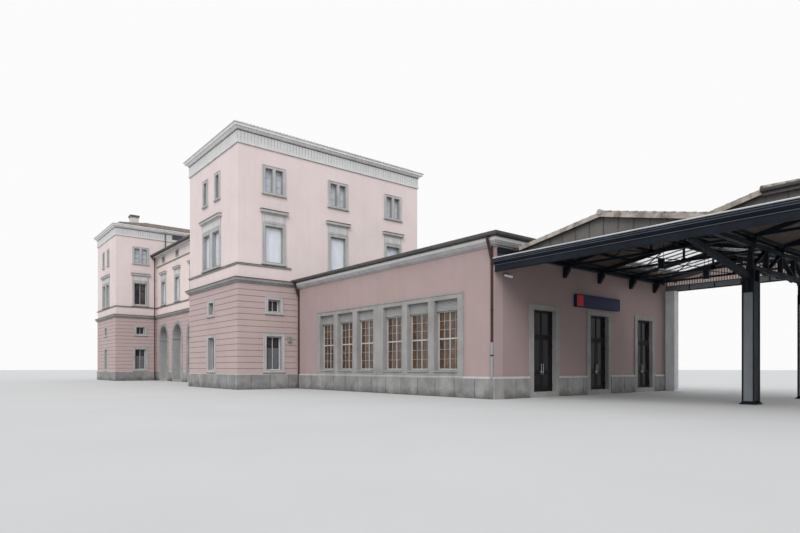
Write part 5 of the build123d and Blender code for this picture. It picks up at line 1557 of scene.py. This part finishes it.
# %% Verge and hip gutter
VERGE_STEP = 0.30
HIP_EDGE = (45.75, HIP_CORNERS[1])
verge = []
for start, end in ((FOOT, RIDGE_1), (RIDGE_1, VALLEY), (VALLEY, (HIP_CORNERS[0], HIP_LEVEL))):
    start, end = Vector((start[0], 0, start[1])), Vector((end[0], 0, end[1]))
    for spot in even_steps(start, end, round((end - start).length / VERGE_STEP)):
        verge.append(((spot.x, ROOF_FRONT_Y - 0.025, spot.z - 0.045), end - start,
                      (0, -1, 0.12), 0.29))
repeat("verge_tiles", "board", verge, 0.17, 0.045, old_clay, "roof_cover", seed=8)
mesh = bmesh.new()
hip_face = Face("x", ROOF_FRONT_Y, 1)
strip(mesh, hip_face, HIP_EDGE, gutter_section(0.075, 6.55, 0.06))
strip(mesh, hip_face, HIP_EDGE, [(-0.03, 6.40), (0.01, 6.40), (0.012, 6.55), (-0.03, 6.55)])
piece("hip_gutter", mesh, dark_gutter, "brown_metal")

# %% [markdown]
# The gables over the front deck are closed with sheet whose joints are covered by thin upright
# battens, about 0.6 m apart. Over the rear beam the gable is corrugated sheet, which lets a
# little light through and has a faint painted glow. Both are rows of one shape cut off under the
# sloping roof.

# %% Gable battens and corrugated sheet
UNDER_SHEET = 0.11
BATTENS, BATTEN_START, BATTEN_STEP = 25, 36.95, 0.59
BATTEN_Y, BATTEN_FOOT = -3.915, 5.88
RIBS, RIB_START, RIB_STEP = 112, 36.36, 0.14
RIB_YS, RIB_FOOT = (9.635, 9.705), 6.01
SHORTEST_RIB = 0.07
PAST_THE_SLOPES = 6.25


def under_roof(x):
    """The level just under the roof sheet at a place across the bays."""
    for low, ridge in SLOPES:
        if min(low[0], ridge[0]) <= x <= max(low[0], ridge[0]):
            share = (x - low[0]) / (ridge[0] - low[0])
            return low[1] + (ridge[1] - low[1]) * share - UNDER_SHEET
    return PAST_THE_SLOPES


def upright(x, y, foot, top):
    """A place for an upright batten or rib that faces the street."""
    return ((x, y, (foot + top) / 2), UP, (0, -1, 0), top - foot)


battens, ribs = [], []
for x in [BATTEN_START + i * BATTEN_STEP for i in range(BATTENS)]:
    top = under_roof(x)
    if x > VALLEY[0]:
        top = min(top, hip_level(-3.9) - UNDER_SHEET)
    battens.append(upright(x, BATTEN_Y, BATTEN_FOOT, top))
for x in [RIB_START + i * RIB_STEP for i in range(RIBS)]:
    if under_roof(x) > RIB_FOOT + SHORTEST_RIB:
        ribs += [upright(x, y, RIB_FOOT, under_roof(x)) for y in RIB_YS]
repeat("gable_battens", "board", battens, 0.028, 0.02, dark_gutter, "panel_metal")
repeat("corrugated_gable", "rib", ribs, 0.10, 0.02, infill_sheet_painted_glow, "panel_metal")

# %% [markdown]
# Rolled steel has thin flanges that catch the light, and riveted work has plates at every joint.
# These lips, gussets and diagonals are what makes a frame of plain bars look like an old
# railway canopy, so they are laid over the imported bars. Three meshes are filled side by side:
# dark metal, and a paler navy and a pale zinc that are painted highlights on the flange edges,
# on two lines along the gutter face and on the gutter's rim.

# %% Steel of the canopy's beams and trusses
X_CANOPY = 52.13
WEB = 1.32
FRONT_CHORD, REAR_CHORD = (5.31, 5.58), (5.66, 6.00)
HANGERS, HANGER_STEP = 18, 0.9
RIM_OUT, RIM_LEVEL = -5.205, 5.853
TRUSSES = (-0.3, 2.6, 5.6, 8.1)
TIE_LEVEL = 6.06
DIAGONAL = 0.04
WALL_SEAT = (36.30, 6.22)
front_beam, rear_beam = Face("x", Y_ANNEX, 1), Face("x", ROOF_BACK_Y, -1)
end_beam = Face("y", X_END, 1)
mesh, light, edges = bmesh.new(), bmesh.new(), bmesh.new()
# The edges mesh holds painted highlights: paler navy on the top flanges.
for face, (low, high) in ((front_beam, FRONT_CHORD), (rear_beam, REAR_CHORD)):
    bar(mesh, face, (X_END, X_CANOPY), (-0.13, 0.035), (low - 0.005, low + 0.018))
    bar(edges, face, (X_END, X_CANOPY), (0.0, 0.03), (high - 0.028, high - 0.004))
for x in [X_END + WEB * i for i in range(1, 12)]:
    bar(mesh, front_beam, (x - 0.02, x + 0.02), (0.0, 0.012), (5.335, 5.55))
    bar(mesh, rear_beam, (x - 0.02, x + 0.02), (-0.135, 0.012), (5.69, 5.97))
# The gutter's rim is pale zinc as a painted highlight along the navy gutter.
rod(light, [(x, RIM_OUT, RIM_LEVEL) for x in (X_END, X_CANOPY)], 0.026)
# Two paler lines along the gutter face are painted highlights.
for level in (5.70, 5.77):
    rod(edges, [(x, -5.20, level) for x in (X_END, X_CANOPY)], 0.014, 6)
for x in [X_END + 0.3 + HANGER_STEP * i for i in range(HANGERS)]:
    for run, low, high in (((-5.215, -4.98), 5.858, 5.868), ((-5.212, -5.2), 5.72, 5.86)):
        strip(mesh, Face("y", x, 1), run, [(0, low), (0.03, low), (0.03, high), (0, high)])
for y in TRUSSES:
    for low, ridge in SLOPES:
        start = WALL_SEAT if low is FOOT else (low[0], low[1] - 0.2)
        end = (ridge[0], ridge[1] - 0.2)
        for part, x in ((0.52, end[0]), (0.80, start[0] * 0.42 + end[0] * 0.58)):
            top = (start[0] + (end[0] - start[0]) * part, y,
                   start[1] + (end[1] - start[1]) * part)
            beam(mesh, (x, y, TIE_LEVEL), top, DIAGONAL, DIAGONAL)
        for level in (6.10, ridge[1] - 0.25):
            bar(mesh, Face("x", y, 1), (end[0] - 0.10, end[0] + 0.10), (-0.058, 0.058),
                (level - 0.05, level + 0.06))
bar(mesh, end_beam, (-4.95, 9.15), (0.0, 0.12), (6.04, 6.32))
# A paler strip along the end beam is a painted highlight.
bar(edges, end_beam, (-4.95, 9.15), (0.0, 0.135), (6.02, 6.045))
print("trusses", len(TRUSSES))

# %% [markdown]
# Each girder between two columns has an upper and a lower pair of flanges, with a plate over
# every joint. The columns carry curved braces under it and stand on a foot plate with bolts.
# A column's open sides are closed by plates, and the faces toward the street and the rear
# show a paler panel between two dark edges.

# %% Steel of the girders and columns
COLUMNS = [(x, y) for x in (VALLEY[0], EDGE[0]) for y in (-0.3, 5.6)]
LOW_FLANGES, HIGH_FLANGES = ((4.84, 4.88), (4.96, 5.0)), ((5.66, 5.70), (5.77, 5.81))
GUSSETS = [-0.3 + 5.9 * i / 4 for i in range(5)]
BRACE_PARTS = 6
BOLT_RADIUS = 0.025
PANEL_LEVELS, PLATE_LEVELS, EDGE_LEVELS = (0.12, 4.0), (0.12, 4.40), (0.036, 4.40)
for x in (VALLEY[0], EDGE[0]):
    face = Face("y", x, 1)
    for out in ((-0.10, -0.08), (0.08, 0.10)):
        for run, flanges in (((-0.5, 5.8), LOW_FLANGES), ((-5.0, 9.6), HIGH_FLANGES)):
            for levels in flanges:
                bar(mesh, face, run, out, levels)
        for y in GUSSETS:
            for level in (4.92, 5.73):
                bar(mesh, face, (y - 0.17, y + 0.17), out, (level - 0.12, level + 0.12))
panels, plates = bmesh.new(), bmesh.new()
for x, y in COLUMNS:
    face = Face("y", x, 1)
    bar(mesh, face, (y - 0.33, y + 0.33), (-0.28, 0.28), (0.0, 0.035))
    bar(mesh, face, (y - 0.28, y + 0.28), (-0.22, 0.22), (4.80, 4.86))
    for side in (-1, 1):
        turns = [math.pi / 2 * k / BRACE_PARTS for k in range(BRACE_PARTS + 1)]
        arc = [(x, y + side * (0.25 + 0.75 * (1 - math.cos(t))), 4.08 + 0.78 * math.sin(t))
               for t in turns]
        for start, end in zip(arc, arc[1:]):
            beam(mesh, start, end, 0.12, 0.06, (1, 0, 0))
        for a in (-0.26, 0.26):
            rod(mesh, [(x + side * 0.22, y + a, level) for level in (0.03, 0.09)],
                BOLT_RADIUS)
        front = Face("x", y - side * 0.25, side)
        bar(panels, front, (x - 0.155, x + 0.155), (-0.004, 0.012), PANEL_LEVELS)
        bar(plates, Face("y", x, side), (y - 0.205, y + 0.205), (0.03, 0.185), PLATE_LEVELS)
        for edge in (x - 0.18, x + 0.18):
            bar(plates, front, (edge - 0.02, edge + 0.02), (-0.004, 0.045), EDGE_LEVELS)
piece("canopy_gussets_and_lips", mesh, navy_paint, "canopy_steel", bevel=0.004)
piece("canopy_gutter_rim_highlight", light, rim_zinc, "canopy_steel")
piece("canopy_flange_highlights", edges, pale_navy_and_highlight, "canopy_steel")
# The paler plates on the inner face of the rear beam are painted light on the face that daylight
# reaches.
mesh = bmesh.new()
for x in [X_END + WEB * i for i in range(12)]:
    bar(mesh, rear_beam, (x + 0.03, x + 1.29), (-0.137, -0.125), (5.70, 5.965))
piece("rear_beam_web_painted_light", mesh, column_paint, "canopy_steel", bevel=0.004)
piece("column_infill_panels", panels, column_paint, "canopy_steel", bevel=0.004)
piece("column_side_plates", plates, navy_paint, "canopy_steel", bevel=0.006)

# %% [markdown]
# Two lamps hang on thin rods under the ridge of the first bay, and a small camera looks along
# the end wall. They are dark boxes with a lens or a glass, each hung from what carries it.

# %% Lamps and camera
LAMP_X, LAMP_YS = 40.45, (0.56, 4.87)
mesh, glow = bmesh.new(), bmesh.new()
for y in LAMP_YS:
    face = Face("x", y, 1)
    bar(mesh, face, (LAMP_X - 0.11, LAMP_X + 0.11), (-0.09, 0.09), (5.46, 5.90))
    bar(glow, face, (LAMP_X - 0.09, LAMP_X + 0.09), (-0.07, 0.07), (5.445, 5.462))
    for x in (LAMP_X - 0.09, LAMP_X + 0.09):
        rod(mesh, [(x, y, 5.89), (x, y, 6.86)], 0.012, 6)
rod(mesh, [(36.25, -4.46, 5.26), (36.40, -4.46, 5.26), (36.44, -4.46, 5.20)], 0.022)
rod(mesh, [(36.25, -4.46, 5.26), (36.27, -4.46, 5.26)], 0.06)
rod(glow, [(36.36, -4.62, 5.20), (36.50, -4.28, 5.13)], 0.055, 10)
rod(mesh, [(36.495, -4.29, 5.132), (36.51, -4.255, 5.125)], 0.05, 10)
piece("hanging_lamps", mesh, navy_paint, "canopy_steel", bevel=0.006)
piece("lamp_glass_and_camera", glow, camera_white, "sign_panel", bevel=0.004)

# %% [markdown]
# The doors are dark metal frames filled with dark glass. Each leaf turns on its own hinge, so
# its glass, its beads and its handle ride on that leaf's body, and all of them lie inside the
# leaf or close to its face, clear of the other leaf and the frame at every angle.

# %% Doors
LEAF_FACE = 36.11
LEAF_PANES = ((0.362, 1.045), (1.155, 2.578))
LEAF_GLASS = ((-0.0149, -0.011), (-0.039, -0.0351))
HINGE_EDGE, FREE_EDGE = 0.738, 0.008
GRIP_FROM_EDGE, GRIP_RADIUS = 0.06, 0.014
face = Face("y", LEAF_FACE, 1)
for number, middle in enumerate(DOORS, start=1):
    for hand, side in (("near", 1), ("far", -1)):
        body = f"door_{number}_{hand}_leaf"
        start, end = sorted((middle - side * HINGE_EDGE, middle - side * FREE_EDGE))
        glass, beads, grip = bmesh.new(), bmesh.new(), bmesh.new()
        for low, high in LEAF_PANES:
            for out in LEAF_GLASS:
                bar(glass, face, (start + 0.112, end - 0.112), out, (low + 0.002, high - 0.002))
            surround(beads, face, (start + 0.11, end - 0.11, low, high),
                     [(-0.018, -0.0109), (-0.015, -0.003), (0, -0.003), (0, -0.0109)])
        free = end - GRIP_FROM_EDGE if side > 0 else start + GRIP_FROM_EDGE
        rod(grip, [face.at(free, out, level) for out, level in (
            (-0.002, 1.02), (0.045, 1.02), (0.05, 1.06), (0.05, 1.44), (0.045, 1.48),
            (-0.002, 1.48))], GRIP_RADIUS)
        bar(grip, face, (free - 0.03, free + 0.03), (-0.001, 0.006), (1.10, 1.16))
        name = f"door_{number}_{hand}"
        piece(name + "_glass", glass, door_glass, "window_glass", body)
        piece(name + "_beads", beads, door_paint, "door_metal", body)
        piece(name + "_handle", grip, galvanised, "door_metal", body)

# %% [markdown]
# Over each pair of leaves stand two fixed lights, which don't move and so ride on the building.
# A stone fillet runs up and over each door frame, and the two corners of the end wall get the
# foot stones that close the plinth.

# %% Top lights, fillets and corners
TOP_LIGHT, TOP_GLASS = (2.80, 3.80), ((-0.0299, -0.026), (-0.054, -0.0501))
POST_HALF, JAMB_HALF = 0.025, 0.75
FILLET_HALF, FILLET_LEVELS = 0.8, (0.24, 3.90)
mesh, edges, stones = bmesh.new(), bmesh.new(), bmesh.new()
for middle in DOORS:
    for start, end in ((middle - JAMB_HALF, middle - POST_HALF),
                       (middle + POST_HALF, middle + JAMB_HALF)):
        for out in TOP_GLASS:
            bar(mesh, face, (start, end), out, TOP_LIGHT)
        surround(edges, face, (start, end, *TOP_LIGHT), [(-0.02, -0.0259), (-0.016, -0.006),
                                                         (0, -0.006), (0, -0.0259)])
    fillet = ((0.0, 0.058), (0.004, 0.074), (0.035, 0.074), (0.04, 0.058))
    loft(stones, *[[end_face.at(middle + side * (FILLET_HALF + grow), out,
                                FILLET_LEVELS[top] + top * grow) for grow, out in fillet]
                   for side, top in ((-1, 0), (-1, 1), (1, 1), (1, 0))])
for y, side in ((Y_ANNEX, -1), (Y_ANNEX_BACK, 1)):
    bar(stones, end_face, sorted((y + side * 0.083, y - side * 0.5)), (-0.02, 0.08),
        (0.0, 0.848))
piece("top_light_glass", mesh, door_glass, "window_glass")
piece("top_light_beads", edges, door_paint, "door_metal")
piece("door_fillets_and_corners", stones, trim, "trim_stone")

# %% [markdown]
# The sign over the doors is a shallow box with a metal rim. It stays bare: a dark blue field
# and a red square at its end, both plain.

# %% Bare sign
FIELD_OUT, FIELD_LEVELS = (0.0, 0.006), (4.275, 4.785)
mesh, blue, red = bmesh.new(), bmesh.new(), bmesh.new()
sign_face = Face("y", X_END + 0.16, 1)
surround(mesh, sign_face, (0.50, 4.30, 4.24, 4.82),
         [(-0.03, -0.002), (-0.025, 0.012), (0.004, 0.012), (0.012, 0.0), (0.012, -0.16),
          (0.0, -0.16)])
bar(blue, sign_face, (1.08, 4.265), FIELD_OUT, FIELD_LEVELS)
bar(red, sign_face, (0.535, 1.05), FIELD_OUT, FIELD_LEVELS)
piece("sign_rim", mesh, sign_navy, "sign_panel")
piece("sign_blue_field", blue, sign_navy, "sign_panel", bevel=0.003)
piece("sign_red_field", red, sign_red, "sign_panel", bevel=0.003)

# %% [markdown]
# The solids that stay in view take their finish here. A wall behind the rusticated courses is
# given a darker tone below the cornice as painted shade, because there it only shows in the
# grooves, where shade falls.

# %% Finishes of the imported solids
# GROOVE_SHADE_PINK is painted shade: the dark tone of the grooves between the courses.
GROOVE_SHADE_PINK = (0.27, 0.20, 0.19)
groove_shade_render = painted_render("groove_shade_render", PALE_PINK, GROOVE_SHADE_PINK)
centre_render = painted_render("centre_render", CENTRE_CREAM, GROOVE_SHADE_PINK)
FINISHES = {
    groove_shade_render: ("tower_front_walls", "tower_back_walls", "tower_inner_walls",
                    "right_tower_side_wall", "left_tower_side_wall"),
    centre_render: ("centre_walls",),
    annex_render: ("annex_front_wall", "annex_back_wall", "annex_side_wall"),
    end_shaded_render: ("end_wall_piers", "end_wall_over_doors"),
    upper_stone: ("main_window_stones",),
    trim: ("arch_stones", "annex_band_stones", "door_jamb_stones",
           "door_sills_and_lintels"),
    concrete: ("canopy_pillar",),
    plinth: ("main_plinth", "annex_plinth"),
    frieze_paint: ("annex_cornice",),
    frieze_shade: ("tower_friezes",),
    cornice_zinc: ("tower_cornices", "tower_roofs"),
    roof_board: ("centre_roof", "canopy_roof"),
    chimney_render: ("chimney",),
    reveal_stone: ("tower_floors", "centre_floors", "annex_floor"),
    white_paint: ("main_window_frames", "arch_screens", "annex_window_frames"),
    window_glass: ("main_window_panes",),
    annex_glass: ("annex_window_panes",),
    roof_glass: ("canopy_rooflights",),
    shutter_paint: ("shutter_boxes",),
    brown_paint: ("centre_gutters", "downpipes"),
    dark_gutter: ("annex_gutter", "annex_roof"),
    navy_paint: ("canopy_trusses", "canopy_girders", "canopy_columns", "canopy_struts",
                 "canopy_edge_beams", "canopy_gutter", "wall_brackets"),
    panel_sheet: ("canopy_end_panels",),
    door_paint: ("door_frame_posts", "door_top_lights", "door_1_near_leaf",
                 "door_1_far_leaf", "door_2_near_leaf", "door_2_far_leaf",
                 "door_3_near_leaf", "door_3_far_leaf"),
    sign_navy: ("sign_box",),
}
dressed = set()
for material, names in FINISHES.items():
    for name in names:
        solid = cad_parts[name]
        solid.data.materials.clear()
        solid.data.materials.append(material)
        dressed.add(name)
for name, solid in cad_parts.items():
    if name not in dressed and not solid.hide_render:
        print("no finish yet:", name)
print("dressed", len(dressed), "nodes")

# %% [markdown]
# The floor is one large pale sheet under everything. It only catches the soft shadow.

# %% Floor
FLOOR_SIZE = 400
bpy.ops.mesh.primitive_plane_add(size=FLOOR_SIZE)
studio_floor = bpy.context.object
studio_floor.name = "studio_floor"
studio_floor.data.materials.append(floor_finish)
